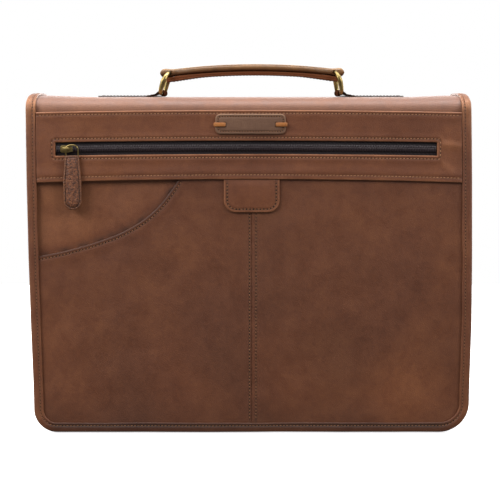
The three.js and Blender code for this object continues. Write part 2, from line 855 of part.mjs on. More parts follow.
// Padded grip whose two ends fold round the rings' heads
function handleGrip() {
  const loopRadius = ringWire / 2 + seamClearance + gripLoopLeather;
  const endCentre = headReach + gripEndFold;
  const turned = spread(12, 90, 4).map((angle) => ({
    x: endCentre + loopRadius * Math.cos(degrees(angle)),
    thickness: loopRadius * Math.sin(degrees(angle)),
  }));
  const straight = spread(gripShoulder, 0, 6).map((x) => ({ x, thickness: gripThickness / 2 }));
  const right = [...turned, ...straight];
  const left = right.map(({ x, thickness }) => ({ x: -x, thickness }));
  const sections = [...left, ...right.slice(0, -1).reverse()].map(({ x, thickness }) => {
    const held = THREE.MathUtils.clamp(x, -headReach, headReach);
    return gripSection(x, gripMiddle(held), gripHalfWidth(x, gripWidth), thickness);
  });
  const cap = sections[0].map((p) => new THREE.Vector2(p.y, p.z));
  const bore = ringWire / 2 + seamClearance;
  const slotEnd = (centre, from) =>
    spread(from, from + 180, 6).map(
      (angle) =>
        new THREE.Vector2(centre + bore * Math.cos(degrees(angle)), bore * Math.sin(degrees(angle))),
    );
  const slot = [...slotEnd(gripLoopSlack, -90), ...slotEnd(-gripLoopSlack, 90)];
  const slotAt = (sign) =>
    loft(
      [-gripWidth, gripWidth].map((y) =>
        slot.map((p) => new THREE.Vector3(sign * headReach + p.x, y, p.y)),
      ),
      slot,
    );
  const padded = toManifold(loft(sections, cap));
  return fromManifold(padded.subtract(toManifold(slotAt(-1))).subtract(toManifold(slotAt(1))));
}

// Flat strap stitched under the grip, drooping a little towards the rings
function handleUnderlay() {
  const reach = headReach + underlayPastHead;
  const drop = gripThickness / 2 + seamClearance + underlayThickness / 2;
  const droop = (x) => underlayDroop * THREE.MathUtils.smoothstep(Math.abs(x), reach / 2, reach);
  const sections = spread(-reach, reach, 12).map((x) =>
    [
      [-1, -1],
      [1, -1],
      [1, 1],
      [-1, 1],
    ].map(
      ([side, up]) =>
        new THREE.Vector3(
          x,
          side * gripHalfWidth(x, underlayWidth),
          gripMiddle(x) - drop - droop(x) + (up * underlayThickness) / 2,
        ),
    ),
  );
  return loft(sections, sections[0].map((p) => new THREE.Vector2(p.y, p.z)));
}

// Materials

const tannedLeather = leatherMaterial(0x6b4630);
const edgeLeather = leatherMaterial(0x6f4932);
const handleLeather = leatherMaterial(0x5e3c26);
const lacingLeather = leatherMaterial(0x9a6741);
const patchLeatherFinish = leatherMaterial(0x6f4f40);
const antiqueBrass = finish(0x9a8145, 0.35, 1);
const zipTapeCloth = finish(0x2a1e1f, 0.9);
const zipCoil = finish(0x453c3b, 0.45);

// Assembly

function piece(name, geometry, material) {
  const mesh = new THREE.Mesh(geometry, material);
  mesh.name = name;
  return mesh;
}

const documentCase = new THREE.Group();

documentCase.add(
  piece('cover', coverSheet(), tannedLeather),
  piece('flap_binding', flapBinding(), edgeLeather),
  piece('back_binding', backBinding(), edgeLeather),
  piece('front_wall', frontWall(), tannedLeather),
  piece('front_wall_binding', wallBinding(), edgeLeather),
  piece('gusset', gussetStrip(), tannedLeather),
  piece('pocket_panel_left', pocketPanelLeft(), tannedLeather),
  piece('pocket_panel_right', pocketPanelRight(), tannedLeather),
  piece('zip_band', zipBand(), tannedLeather),
  piece('zip_tape_upper', zipTape(tapeSplit(1), tapeEdge(1)), zipTapeCloth),
  piece('zip_tape_lower', zipTape(tapeEdge(-1), tapeSplit(-1)), zipTapeCloth),
  piece('zip_chain', zipChain(), zipCoil),
  piece('zip_slider', zipSlider(), antiqueBrass),
  piece('zip_pull_ring', pullRing(), antiqueBrass),
  piece('zip_pull', leatherPull(), handleLeather),
  piece('pocket_tab', pocketTab(), tannedLeather),
  piece('name_patch', namePatch(), patchLeatherFinish),
);

const handle = new THREE.Group();
const handleCentre = leftHead.clone().add(rightHead).divideScalar(2);
handle.position.set(handleCentre.x, 0, handleCentre.y);
handle.rotation.y = -rightHead.clone().sub(leftHead).angle();
handle.add(
  piece('handle_grip', handleGrip(), handleLeather),
  piece('handle_underlay', handleUnderlay(), handleLeather),
);
documentCase.add(handle);

for (const { side, sign, turn } of [
  { side: 'left', sign: -1, turn: -ringYaw },
  { side: 'right', sign: 1, turn: 180 + ringYaw },
]) {
  const mounting = new THREE.Group();
  mounting.position.set((sign * ringSpan) / 2, 0, footHeight);
  mounting.rotation.z = degrees(turn);
  mounting.add(
    piece(`handle_ring_${side}`, handleRing(side), antiqueBrass),
    piece(`handle_anchor_${side}`, anchorStrap(), handleLeather),
  );
  documentCase.add(mounting, piece(`patch_lace_${side}`, patchLace(sign), lacingLeather));
}

// The origin is the middle of the whole case's base
documentCase.updateMatrixWorld(true);
const reach = new THREE.Box3().setFromObject(documentCase, true);
const middle = reach.getCenter(new THREE.Vector3());
documentCase.position.set(-middle.x, -middle.y, -reach.min.z);

export default documentCase;
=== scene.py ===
import math

import bmesh
import bpy
import numpy as np
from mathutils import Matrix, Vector


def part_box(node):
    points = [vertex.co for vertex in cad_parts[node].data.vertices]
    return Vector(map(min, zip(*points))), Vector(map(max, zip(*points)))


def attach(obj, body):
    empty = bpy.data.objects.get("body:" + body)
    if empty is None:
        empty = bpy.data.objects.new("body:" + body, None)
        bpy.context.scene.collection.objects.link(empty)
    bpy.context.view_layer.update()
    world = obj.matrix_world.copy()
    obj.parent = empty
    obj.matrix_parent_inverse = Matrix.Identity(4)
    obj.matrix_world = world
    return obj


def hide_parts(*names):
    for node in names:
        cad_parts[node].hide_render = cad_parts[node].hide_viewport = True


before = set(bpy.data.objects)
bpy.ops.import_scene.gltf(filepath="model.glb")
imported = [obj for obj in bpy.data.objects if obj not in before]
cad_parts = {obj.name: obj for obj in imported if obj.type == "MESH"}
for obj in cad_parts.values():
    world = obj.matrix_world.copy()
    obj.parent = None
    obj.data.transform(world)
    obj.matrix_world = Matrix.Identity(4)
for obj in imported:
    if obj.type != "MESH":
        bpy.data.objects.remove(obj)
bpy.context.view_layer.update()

# Everything below is in millimetres until a mesh is written, about the middle of the case's depth.
MM = 0.001


def node_box(name):
    """Lowest and highest corner of one CAD node."""
    low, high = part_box(name)
    return np.array(low) / MM, np.array(high) / MM


COVER_LOW, COVER_HIGH = node_box("cover")
FLAP_EDGE_LOW, FLAP_EDGE_HIGH = node_box("flap_binding")
# Outer ends of the two anchor straps
ANCHORS_LEFT = node_box("handle_anchor_left")[0][0]
ANCHORS_RIGHT = node_box("handle_anchor_right")[1][0]
WALL_LOW, WALL_HIGH = node_box("front_wall")
GUSSET_LOW, GUSSET_HIGH = node_box("gusset")

# Centre of the case in the frame
CENTRE = np.array([(ANCHORS_LEFT + ANCHORS_RIGHT) / 2, (COVER_LOW[1] + COVER_HIGH[1]) / 2, 0])

# Overall form
CASE_WIDTH = 400
CASE_HEIGHT = FLAP_EDGE_HIGH[2]
CASE_DEPTH = COVER_HIGH[1] - COVER_LOW[1]
CROWN_HEIGHT = COVER_HIGH[2]
CROWN_RISE = 14
CROWN_FULLNESS = 3
CROWN_SAG = 1.4
FLAT_HEIGHT = CROWN_HEIGHT - CROWN_RISE
LEFT_RADIUS = 21
RIGHT_RADIUS = 27
GAP = 0.3

# Leathers
COVER_LEATHER = 2
PANEL_LEATHER = 1.8
GUSSET_LEATHER = 1.8
BINDING_LEATHER = 1.6
BINDING_WIDTH = 9
EDGE_INSET = BINDING_LEATHER + GAP
COVER_HALF = CASE_WIDTH / 2 - EDGE_INSET
POCKET_STACK = GAP + PANEL_LEATHER
GUSSET_STACK = GAP + GUSSET_LEATHER
BAND_BACK = POCKET_STACK + GAP
BAND_FACE = BAND_BACK + PANEL_LEATHER
BAND_HALF = CASE_WIDTH / 2 - BINDING_WIDTH - GAP
FLAP_LIFT = FLAP_EDGE_LOW[2]
BODY_INSET = 2
BODY_HALF = CASE_WIDTH / 2 - BODY_INSET
WALL_FACE = WALL_LOW[1] - CENTRE[1]
WALL_TOP = WALL_HIGH[2]
GUSSET_TOP = GUSSET_HIGH[2]
GUSSET_SETBACK = BINDING_WIDTH + 0.8

# Band, window and pockets
BAND_BASE = 230
BAND_TOP = 293.2
BAND_BASE_BOW = 3.4
BAND_TOP_BOW = 2.2
WINDOW_LENGTH = 342
WINDOW_HEIGHT = 12
WINDOW_BASE = 254
WINDOW_BOW = 2
WINDOW_SHIFT = -2.7
WINDOW_LEFT = WINDOW_SHIFT - WINDOW_LENGTH / 2
WINDOW_RIGHT = WINDOW_SHIFT + WINDOW_LENGTH / 2
SEAM_X = 0.9
MOUTH_BASE = 162
POCKET_TUCK = 10

# Sewing: a stitch every 3.1 mm, the thread a little over half a millimetre thick
STITCH_PITCH = 3.1
STITCH_LENGTH = 2.3
STITCH_SLANT = math.radians(7)
THREAD = 0.62
# Distance of each seam from its edge
EDGE_STITCH = 2.8
BAND_SEAM = 4
WINDOW_SEAM = 3
MOUTH_SEAM = 3
LEFT_PANEL_SEAM = 1.9
RIGHT_PANEL_SEAM = 3.6
WALL_SEAM = 4.5
# A seam lies this far under the face of a binding, in its own groove
SEAM_SINK = 0.35

# Zip: tape, coil and slider
TAPE_REACH = 12
TAPE_THICKNESS = 1.1
COIL_PITCH = 1.5
COIL_YARN = 0.72

# Tab over the centre seam
TAB_HALF = 25
TAB_DROP = 30
TAB_ROUND = 11
TAB_SEAM = 3

# Patch and its laces; the tall size is half its height, as drawn about its middle
PATCH_HALF = 31.5
PATCH_TALL = 9
PATCH_ROUND = 4.5
PATCH_BASE = 274
PATCH_SEAM = 2.3
PATCH_PITCH = 2.4
LACE_LEVEL = 282.5
LACE_REACH = 8.4

# The soft outline at levels up the case, and the pocket mouth along its panel, as shares
OUTLINE_UP = [0, 0.13, 0.34, 0.52, 0.75, 1]
OUTLINE_LEFT = [0.993, 0.995, 1.003, 1.008, 1.011, 1.011]
OUTLINE_RIGHT = [0.999, 1.0, 1.006, 1.003, 0.997, 0.988]
MOUTH_ALONG = [0, 0.15, 0.29, 0.4, 0.48, 0.55, 0.61, 0.66, 0.69, 0.8]
MOUTH_UP = [0, 0.08, 0.19, 0.3, 0.42, 0.56, 0.74, 0.94, 1.07, 1.6]


# Helpers for lengths and curves

def smooth(value, low, high):
    """0 up to low, 1 from high on, and an even S-curve between them."""
    share = np.clip((np.asarray(value, float) - low) / (high - low), 0, 1)
    return share * share * (3 - 2 * share)


def bump(distance, width):
    """1 at no distance, falling away like a bell on both sides."""
    return np.exp(-((np.asarray(distance, float) / width) ** 2))


def rounded(distance, radius):
    """Height of a rounded edge, 0 at the edge and 1 from one radius in."""
    share = 1 - np.clip(np.asarray(distance, float) / radius, 0, 1)
    return np.sqrt(np.clip(1 - share * share, 0, 1))


def ripple(a, b, seed, size):
    """Soft random waves over a surface, between -1 and 1, about `size` mm across."""
    rng = np.random.default_rng(seed)
    total = 0
    for _ in range(6):
        turn, phase = rng.uniform(0, 2 * math.pi, 2)
        length = size * rng.uniform(0.7, 1.6)
        total = total + np.sin(2 * math.pi * (a * math.cos(turn) + b * math.sin(turn)) / length + phase)
    return total / 3.5


def stops(start, end, step):
    """Places from start to end, close together beside each edge so that its roundness and seam show."""
    close = np.array([0, 0.2, 0.5, 0.9, 1.4, 1.9, 2.3, 2.7, 3.1, 3.6, 4.3, 5.4, 7, 9])
    close = close[close < (end - start) * 0.45]
    inner_start, inner_end = start + close[-1], end - close[-1]
    count = max(int(round((inner_end - inner_start) / step)), 1)
    middle = np.linspace(inner_start, inner_end, count + 1)[1:-1]
    return np.concatenate([start + close, middle, (end - close)[::-1]])


def around(count):
    """Angles of even places round a circle."""
    return np.arange(count) / count * 2 * math.pi


def unit(rows):
    """The same directions, each one unit long."""
    return rows / np.linalg.norm(rows, axis=1, keepdims=True)


def reach_along(points):
    """Length of a line from its start to each of its points."""
    return np.concatenate([[0], np.cumsum(np.linalg.norm(np.diff(points, axis=0), axis=1))])


# The developed cover: x across, s up the flap, over the crown and down the back, n out of its face

def crown_table():
    """The crown's curve from front to back: length along it, its places and its outward normals."""
    turn = np.linspace(0, math.pi, 4001)
    power = 2 / CROWN_FULLNESS
    cosine, sine = np.cos(turn), np.clip(np.sin(turn), 0, 1)
    y = -CASE_DEPTH / 2 * np.sign(cosine) * np.abs(cosine) ** power
    z = FLAT_HEIGHT + CROWN_RISE * sine ** power
    length = np.concatenate([[0], np.cumsum(np.hypot(np.diff(y), np.diff(z)))])
    reach, rise = y / (CASE_DEPTH / 2), (z - FLAT_HEIGHT) / CROWN_RISE
    normal_y = np.sign(reach) * np.abs(reach) ** (CROWN_FULLNESS - 1) / (CASE_DEPTH / 2)
    normal_z = np.clip(rise, 0, 1) ** (CROWN_FULLNESS - 1) / CROWN_RISE
    size = np.hypot(normal_y, normal_z)
    return length, y, z, normal_y / size, normal_z / size


CROWN = crown_table()
CROWN_LENGTH = CROWN[0][-1]
SHEET_LENGTH = 2 * FLAT_HEIGHT + CROWN_LENGTH
SAG_HALF = 142


def settle(x, y, z):
    """Side-to-side wander of the soft outline."""
    up = np.clip(z / CASE_HEIGHT, 0, 1)
    left, right = [np.interp(up, OUTLINE_UP, shares) for shares in (OUTLINE_LEFT, OUTLINE_RIGHT)]
    share = np.where(x < 0, left, right)
    return np.stack([x * share, y, z], axis=-1)


def flap_wave(x, s):
    """Slow hollows and swells that every layer of the flap shares."""
    fade = 1 - smooth(s, FLAT_HEIGHT - 40, FLAT_HEIGHT)
    return fade * (0.9 * ripple(x, s * 0.6, 5, 150) + 0.25 * ripple(x, s, 8, 46))


def wrap(x, s, n, wave=flap_wave):
    """Places of the developed cover, laid over the case."""
    x, s, n = np.broadcast_arrays(np.asarray(x, float), np.asarray(s, float), np.asarray(n, float))
    if wave is not None:
        n = n + wave(x, s)
    past = np.clip(s - FLAT_HEIGHT, 0, CROWN_LENGTH)
    length, crown_y, crown_z, out_y, out_z = CROWN
    y = np.interp(past, length, crown_y) + n * np.interp(past, length, out_y)
    z = np.interp(past, length, crown_z) + n * np.interp(past, length, out_z)
    sag = CROWN_SAG * (1 - smooth(np.abs(x), SAG_HALF, CASE_WIDTH / 2 - BINDING_WIDTH))
    z = z - sag * np.sin(math.pi * past / CROWN_LENGTH)
    z = z + np.minimum(s - FLAT_HEIGHT, 0) - np.maximum(s - FLAT_HEIGHT - CROWN_LENGTH, 0)
    return settle(x, y, z)


def corner_lift(x, half, inset):
    """How far a rounded bottom corner rises above the bottom edge."""
    radius = np.where(x < 0, LEFT_RADIUS, RIGHT_RADIUS) - inset
    past = np.clip(np.abs(x) - (half - radius), 0, radius)
    return radius - np.sqrt(np.clip(radius ** 2 - past ** 2, 0, None))


def bowed(x, height, bow):
    """A level that rises by its bow in the middle of the case."""
    return height + bow * (1 - (x / (CASE_WIDTH / 2)) ** 2)


# Meshes

def make_object(name, points, faces, materials, attributes=None, smooth_angle=40, finish_of_face=None):
    """A closed mesh from case coordinates; finish_of_face picks one of several materials for each face."""
    mesh = bpy.data.meshes.new(name)
    mesh.from_pydata((np.asarray(points) + CENTRE) * MM, [], faces)
    for one in materials if isinstance(materials, (list, tuple)) else [materials]:
        mesh.materials.append(one)
    if finish_of_face is not None:
        mesh.polygons.foreach_set("material_index", np.asarray(finish_of_face, np.int32))
    for key, values in (attributes or {}).items():
        layer = mesh.attributes.new(key, "FLOAT", "POINT")
        layer.data.foreach_set("value", np.asarray(values, np.float32).ravel())
    work = bmesh.new()
    work.from_mesh(mesh)
    bmesh.ops.recalc_face_normals(work, faces=work.faces)
    work.to_mesh(mesh)
    work.free()
    mesh.shade_smooth()
    mesh.set_sharp_from_angle(angle=math.radians(smooth_angle))
    piece = bpy.data.objects.new(name, mesh)
    bpy.context.scene.collection.objects.link(piece)
    return piece


def place(piece, slot, *nodes):
    """Fixes a piece to the case, in place of the nodes that it stands for; slot is not used."""
    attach(piece, "root")
    if nodes:
        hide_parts(*nodes)
    return piece


def grid_solid(face, back, leather=None):
    """Points and faces of a wall between two grids of points; cells that aren't leather are cut out."""
    rows, across = face.shape[:2]
    if leather is None:
        leather = np.ones((rows - 1, across - 1), bool)
    points = np.concatenate([face.reshape(-1, 3), back.reshape(-1, 3)])
    at = np.arange(rows * across).reshape(rows, across)
    under = rows * across
    a, b, c, d = at[:-1, :-1], at[:-1, 1:], at[1:, 1:], at[1:, :-1]
    padded = np.pad(leather, 1)
    faces = [np.stack([a, b, c, d], -1)[leather], np.stack([a, d, c, b], -1)[leather] + under]
    for first, second, beside in (
        (a, b, padded[:-2, 1:-1]),
        (b, c, padded[1:-1, 2:]),
        (c, d, padded[2:, 1:-1]),
        (d, a, padded[1:-1, :-2]),
    ):
        edge = leather & ~beside
        faces.append(np.stack([second, first, first + under, second + under], -1)[edge])
    faces = np.concatenate(faces)
    used, index = np.unique(faces, return_inverse=True)
    return points[used], index.reshape(-1, 4).tolist(), used


def panel(name, face, back, finishes, wear_and_shade, leather=None, bloom=None):
    """A laid piece of leather; a second finish, where there is one, is its flesh side."""
    points, faces, used = grid_solid(face, back, leather)
    cells = (face.shape[0] - 1) * (face.shape[1] - 1) if leather is None else int(leather.sum())
    order = np.zeros(len(faces), int)
    if isinstance(finishes, (list, tuple)):
        order[cells:2 * cells] = 1
    marks = {"wear_and_shade": wear_and_shade}
    if bloom is not None:
        marks["bloom"] = bloom
    marks = {key: np.concatenate([np.ravel(values)] * 2)[used] for key, values in marks.items()}
    return make_object(name, points, faces, finishes, marks, finish_of_face=order)


def loft_faces(count, round_each, closed):
    """Quads between sections one after another, and two caps at the end where the run is open."""
    runs = count if closed else count - 1
    i, j = np.meshgrid(np.arange(runs), np.arange(round_each), indexing="ij")
    here, following = i * round_each, (i + 1) % count * round_each
    k = (j + 1) % round_each
    quads = np.stack([here + j, here + k, following + k, following + j], -1).reshape(-1, 4).tolist()
    if not closed:
        quads.append(list(range(round_each))[::-1])
        quads.append([(count - 1) * round_each + n for n in range(round_each)])
    return quads


def loft(name, sections, finishes, wear_and_shade=None, closed=False, smooth_angle=40, finish_around=None):
    """A body through sections; finish_around picks a finish for each side of the section."""
    sections = np.asarray(sections, float)
    count, round_each = sections.shape[:2]
    faces = loft_faces(count, round_each, closed)
    attributes = {"wear_and_shade": np.zeros(count * round_each) if wear_and_shade is None else wear_and_shade}
    order = None
    if finish_around is not None:
        order = np.tile(finish_around, count if closed else count - 1)
        order = np.concatenate([order, np.full(len(faces) - len(order), finish_around[0])])
    return make_object(name, sections.reshape(-1, 3), faces, finishes, attributes, smooth_angle, order)


def swept(path, shape, lay, thick=1):
    """Sections of a strip along a path; lay takes places along, across and out."""
    path = np.asarray(path, float)
    out = shape[:, 1] * np.broadcast_to(thick, len(path))[:, None]
    return [lay(u - tn * o, shape[:, 0], n + tu * o)
            for (u, n), (tu, tn), o in zip(path, unit(np.gradient(path, axis=0)), out)]


# Materials

def srgb(code):
    """Linear colour from a hex code."""
    parts = [int(code[i:i + 2], 16) / 255 for i in (1, 3, 5)]
    return tuple(p / 12.92 if p <= 0.04045 else ((p + 0.055) / 1.055) ** 2.4 for p in parts) + (1,)


def per_mm(size):
    """Texture scale for a pattern this many millimetres across."""
    return 1 / (size * MM)


def add(tree, kind, sockets=None, **settings):
    """Adds a shader node; a socket takes a number, a colour or another node's output."""
    made = tree.nodes.new("ShaderNode" + kind)
    for key, value in settings.items():
        setattr(made, key, value)
    for key, value in (sockets or {}).items():
        socket = made.inputs[key]
        if isinstance(value, bpy.types.NodeSocket):
            tree.links.new(value, socket)
        else:
            socket.default_value = value
    return made


def blend(tree, share, first, second):
    """Colour mix of two colours or outputs."""
    made = add(tree, "Mix", data_type="RGBA")
    for index, value in ((0, share), (6, first), (7, second)):
        if isinstance(value, bpy.types.NodeSocket):
            tree.links.new(value, made.inputs[index])
        else:
            made.inputs[index].default_value = value
    return made.outputs[2]


def spread_out(tree, value, low, high, to_low=0.0, to_high=1.0):
    """A value's range mapped to another range."""
    made = add(tree, "MapRange", {"Value": value, "From Min": low, "From Max": high,
                                  "To Min": to_low, "To Max": to_high})
    return made.outputs["Result"]


def new_material(name, **principled):
    """A material with numbers or colours set on its Principled surface."""
    material = bpy.data.materials.new(name)
    material.use_nodes = True
    tree = material.node_tree
    surface = tree.nodes["Principled BSDF"]
    for key, value in principled.items():
        surface.inputs[key.replace("_", " ")].default_value = value
    return material, tree, surface


# Darkened by burnishing and hands, and painted shade; pale grey painted on as a sheen; its real warm sheen
BURNISH_AND_SHADE = "#24140d"
PAINTED_SHEEN_COLOUR = "#cfc3be"
WARM_SHEEN = "#ffd9bc"


def leather_finish(name, deep, middle, light, worn_and_lit, roughness=(0.42, 0.6), grain=1.1, grain_depth=0.09,
                   cloud=12, mottle=0.2, sheen=0.0, specular=0.5):
    """Waxed hide: large slow mottling, cloudy handling marks, pebbled grain, pale folded edges, and painted
    highlight, sheen and shade.
    """
    material, tree, surface = new_material(name)
    where = add(tree, "TexCoord").outputs["Object"]
    slow = add(tree, "TexNoise", {"Vector": where, "Scale": per_mm(90), "Detail": 3.0, "Roughness": 0.5,
                                  "Distortion": 0.6}).outputs["Fac"]
    clouds = add(tree, "TexNoise", {"Vector": where, "Scale": per_mm(cloud), "Detail": 5.0,
                                    "Roughness": 0.62, "Distortion": 0.3}).outputs["Fac"]
    rubs = add(tree, "TexNoise", {"Vector": where, "Scale": per_mm(3.2), "Detail": 4.0,
                                  "Roughness": 0.7}).outputs["Fac"]
    broad = spread_out(tree, slow, 0.3, 0.7, 0.2, 0.46)
    handled = spread_out(tree, clouds, 0.3, 0.7, 0.1 - mottle / 2, 0.1 + mottle / 2)
    scuffs = spread_out(tree, rubs, 0.3, 0.7, 0, 0.15)
    tone = add(tree, "Math", {0: broad, 1: handled}, operation="ADD").outputs[0]
    tone = add(tree, "Math", {0: tone, 1: scuffs}, operation="ADD").outputs[0]
    ramp = add(tree, "ValToRGB", {"Fac": tone})
    ramp.color_ramp.elements[0].color = srgb(deep)
    ramp.color_ramp.elements[0].position = 0.12
    ramp.color_ramp.elements[1].color = srgb(light)
    ramp.color_ramp.elements[1].position = 0.9
    ramp.color_ramp.elements.new(0.5).color = srgb(middle)
    # Above zero the attribute pales the hide: real wear, and painted highlight in places; below zero it
    # darkens it: burnish, and painted shade in places
    wear_and_shade = add(tree, "Attribute", attribute_name="wear_and_shade").outputs["Fac"]
    pale = add(tree, "Math", {0: wear_and_shade, 1: spread_out(tree, clouds, 0.3, 0.62, 0.55, 1.15)},
               operation="MULTIPLY", use_clamp=True).outputs[0]
    burnt_and_shaded = add(tree, "Math", {0: wear_and_shade, 1: -1.0}, operation="MULTIPLY", use_clamp=True).outputs[0]
    colour = blend(tree, pale, ramp.outputs["Color"], srgb(worn_and_lit))
    colour = blend(tree, burnt_and_shaded, colour, srgb(BURNISH_AND_SHADE))
    # Painted sheen: the crown is mixed towards a pale pinkish grey for the glancing light it catches
    bloom = add(tree, "Attribute", attribute_name="bloom").outputs["Fac"]
    colour = blend(tree, bloom, colour, srgb(PAINTED_SHEEN_COLOUR))

    cells = add(tree, "TexVoronoi", {"Vector": where, "Scale": per_mm(grain), "Randomness": 1.0},
                feature="DISTANCE_TO_EDGE").outputs["Distance"]
    pebbles = spread_out(tree, cells, 0.0, 0.28)
    pores = add(tree, "TexNoise", {"Vector": where, "Scale": per_mm(grain * 0.42), "Detail": 2.0,
                                   "Roughness": 0.5}).outputs["Fac"]
    creases = add(tree, "TexNoise", {"Vector": where, "Scale": per_mm(7), "Detail": 4.0,
                                     "Roughness": 0.6, "Distortion": 1.2}).outputs["Fac"]
    colour = blend(tree, spread_out(tree, cells, 0.0, 0.14, 0.22, 0.0), colour, srgb(deep))
    tree.links.new(colour, surface.inputs["Base Color"])
    shine = add(tree, "Math", {0: spread_out(tree, clouds, 0.3, 0.7, *roughness),
                               1: spread_out(tree, cells, 0.0, 0.3, 0.07, -0.03)},
                operation="ADD").outputs[0]
    tree.links.new(shine, surface.inputs["Roughness"])
    first = add(tree, "Bump", {"Height": creases, "Distance": 0.4 * MM, "Strength": 0.12})
    second = add(tree, "Bump", {"Height": pebbles, "Distance": grain_depth * MM, "Strength": 0.8,
                                "Normal": first.outputs["Normal"]})
    third = add(tree, "Bump", {"Height": pores, "Distance": 0.05 * MM, "Strength": 0.6,
                               "Normal": second.outputs["Normal"]})
    tree.links.new(third.outputs["Normal"], surface.inputs["Normal"])
    if sheen:
        surface.inputs["Sheen Weight"].default_value = sheen
        surface.inputs["Sheen Roughness"].default_value = 0.5
        surface.inputs["Sheen Tint"].default_value = srgb(WARM_SHEEN)
    surface.inputs["Specular IOR Level"].default_value = specular
    return material


def painted_edge(name, code):
    """Cut edge of strap leather: sealed with paint, smooth, half dull and slightly uneven."""
    material, tree, surface = new_material(name, Base_Color=srgb(code), Roughness=0.7,
                                           Specular_IOR_Level=0.0)
    where = add(tree, "TexCoord").outputs["Object"]
    uneven = add(tree, "TexNoise", {"Vector": where, "Scale": per_mm(2.5), "Detail": 3.0}).outputs["Fac"]
    relief = add(tree, "Bump", {"Height": uneven, "Distance": 0.15 * MM, "Strength": 0.5})
    tree.links.new(relief.outputs["Normal"], surface.inputs["Normal"])
    return material


def suede(name, deep, light):
    """Flesh side of the hide: fibrous, matt and a little paler in the nap."""
    material, tree, surface = new_material(name, Roughness=0.92, Sheen_Weight=0.2, Sheen_Roughness=0.6)
    where = add(tree, "TexCoord").outputs["Object"]
    nap = add(tree, "TexNoise", {"Vector": where, "Scale": per_mm(1.2), "Detail": 5.0,
                                 "Roughness": 0.7}).outputs["Fac"]
    slow = add(tree, "TexNoise", {"Vector": where, "Scale": per_mm(40), "Detail": 3.0}).outputs["Fac"]
    tone = add(tree, "Math", {0: nap, 1: slow}, operation="ADD").outputs[0]
    colour = blend(tree, spread_out(tree, tone, 0.75, 1.25), srgb(deep), srgb(light))
    tree.links.new(colour, surface.inputs["Base Color"])
    relief = add(tree, "Bump", {"Height": nap, "Distance": 0.12 * MM, "Strength": 0.7})
    tree.links.new(relief.outputs["Normal"], surface.inputs["Normal"])
    return material


def brass(name, bright, tarnish):
    """Antique brass: yellow where it's rubbed, brown tarnish in patches, fine brushed pits."""
    material, tree, surface = new_material(name, Metallic=1.0)
    where = add(tree, "TexCoord").outputs["Object"]
    patches = add(tree, "TexNoise", {"Vector": where, "Scale": per_mm(7), "Detail": 4.0,
                                     "Roughness": 0.6}).outputs["Fac"]
    pits = add(tree, "TexNoise", {"Vector": where, "Scale": per_mm(0.8), "Detail": 3.0}).outputs["Fac"]
    colour = blend(tree, spread_out(tree, patches, 0.38, 0.66), srgb(bright), srgb(tarnish))
    tree.links.new(colour, surface.inputs["Base Color"])
    tree.links.new(spread_out(tree, patches, 0.3, 0.7, 0.24, 0.42), surface.inputs["Roughness"])
    relief = add(tree, "Bump", {"Height": pits, "Distance": 0.03 * MM, "Strength": 0.25})
    tree.links.new(relief.outputs["Normal"], surface.inputs["Normal"])
    return material


def woven_tape(name, deep, light):
    """Zip tape: a fine herringbone of dark yarn across its width, dull, with a soft fuzz."""
    material, tree, surface = new_material(name, Roughness=0.85, Sheen_Weight=0.25, Sheen_Roughness=0.5)
    where = add(tree, "TexCoord").outputs["Object"]
    yarn = add(tree, "TexWave", {"Vector": where, "Scale": per_mm(0.9) / 6.3, "Distortion": 1.2,
                                 "Detail": 1.0}, bands_direction="DIAGONAL").outputs["Fac"]
    rib = add(tree, "TexWave", {"Vector": where, "Scale": per_mm(1.3) / 6.3, "Distortion": 0.4},
              bands_direction="Z").outputs["Fac"]
    weave = add(tree, "Math", {0: yarn, 1: rib}, operation="MULTIPLY").outputs[0]
    colour = blend(tree, weave, srgb(deep), srgb(light))
    tree.links.new(colour, surface.inputs["Base Color"])
    relief = add(tree, "Bump", {"Height": weave, "Distance": 0.18 * MM, "Strength": 0.8})
    tree.links.new(relief.outputs["Normal"], surface.inputs["Normal"])
    return material


def thread_finish(name, code):
    """Waxed polyester thread: twisted, satin, a shade warmer than the leather under it."""
    material, tree, surface = new_material(name, Base_Color=srgb(code), Roughness=0.75)
    where = add(tree, "TexCoord").outputs["Object"]
    twist = add(tree, "TexWave", {"Vector": where, "Scale": per_mm(0.5) / 6.3},
                bands_direction="DIAGONAL").outputs["Fac"]
    relief = add(tree, "Bump", {"Height": twist, "Distance": 0.08 * MM, "Strength": 0.6})
    tree.links.new(relief.outputs["Normal"], surface.inputs["Normal"])
    return material


# Pull-up cowhide: brown that lightens in soft clouds where the wax has moved
HIDE = leather_finish("pull-up cowhide", "#512a1a", "#6f3e23", "#8a522c", "#ae724a", sheen=0.07)
# The same hide on the bindings, rubbed warmer and lighter along every fold
BINDING_HIDE = leather_finish("binding cowhide", "#522a1a", "#6d3d23", "#8a542f", "#b4784c", sheen=0.07)
# The unlined body inside, darker and less handled
BODY_HIDE = leather_finish("body cowhide", "#40271b", "#583725", "#70462f", "#8a5c3f", (0.5, 0.66))
# Handle leather: darker, tighter and glossier from the hand
HANDLE_HIDE = leather_finish("handle cowhide", "#3d2516", "#66411f", "#8e6130", "#c0904e", (0.32, 0.48),
                             grain=0.8, cloud=9)
# Patch leather: a greyer, drier offcut
PATCH_HIDE = leather_finish("patch cowhide", "#5a3d2b", "#6f4e3a", "#86634a", "#a07a5c", (0.5, 0.66))
# Lacing: narrow tan thong with a waxed face
LACING_HIDE = leather_finish("tan lacing leather", "#865224", "#ab6a34", "#c58446", "#cc9054", (0.4, 0.55))
# Pull leather: coarser shrunken grain, mottled by handling
PULL_HIDE = leather_finish("pull cowhide", "#2b170c", "#5d3420", "#935a36", "#8c5f3e", (0.4, 0.58),
                           grain=1.7, grain_depth=0.3, cloud=1.5, mottle=0.8)
EDGE_PAINT = painted_edge("dark brown edge paint", "#2c1910")
# Anchor straps: dark and dull, the dark partly waxed hide and partly painted shade
ANCHOR_HIDE = leather_finish("anchor cowhide", "#2e1a11", "#472a1b", "#603d27", "#8c5d3c", (0.75, 0.9),
                             specular=0.0)
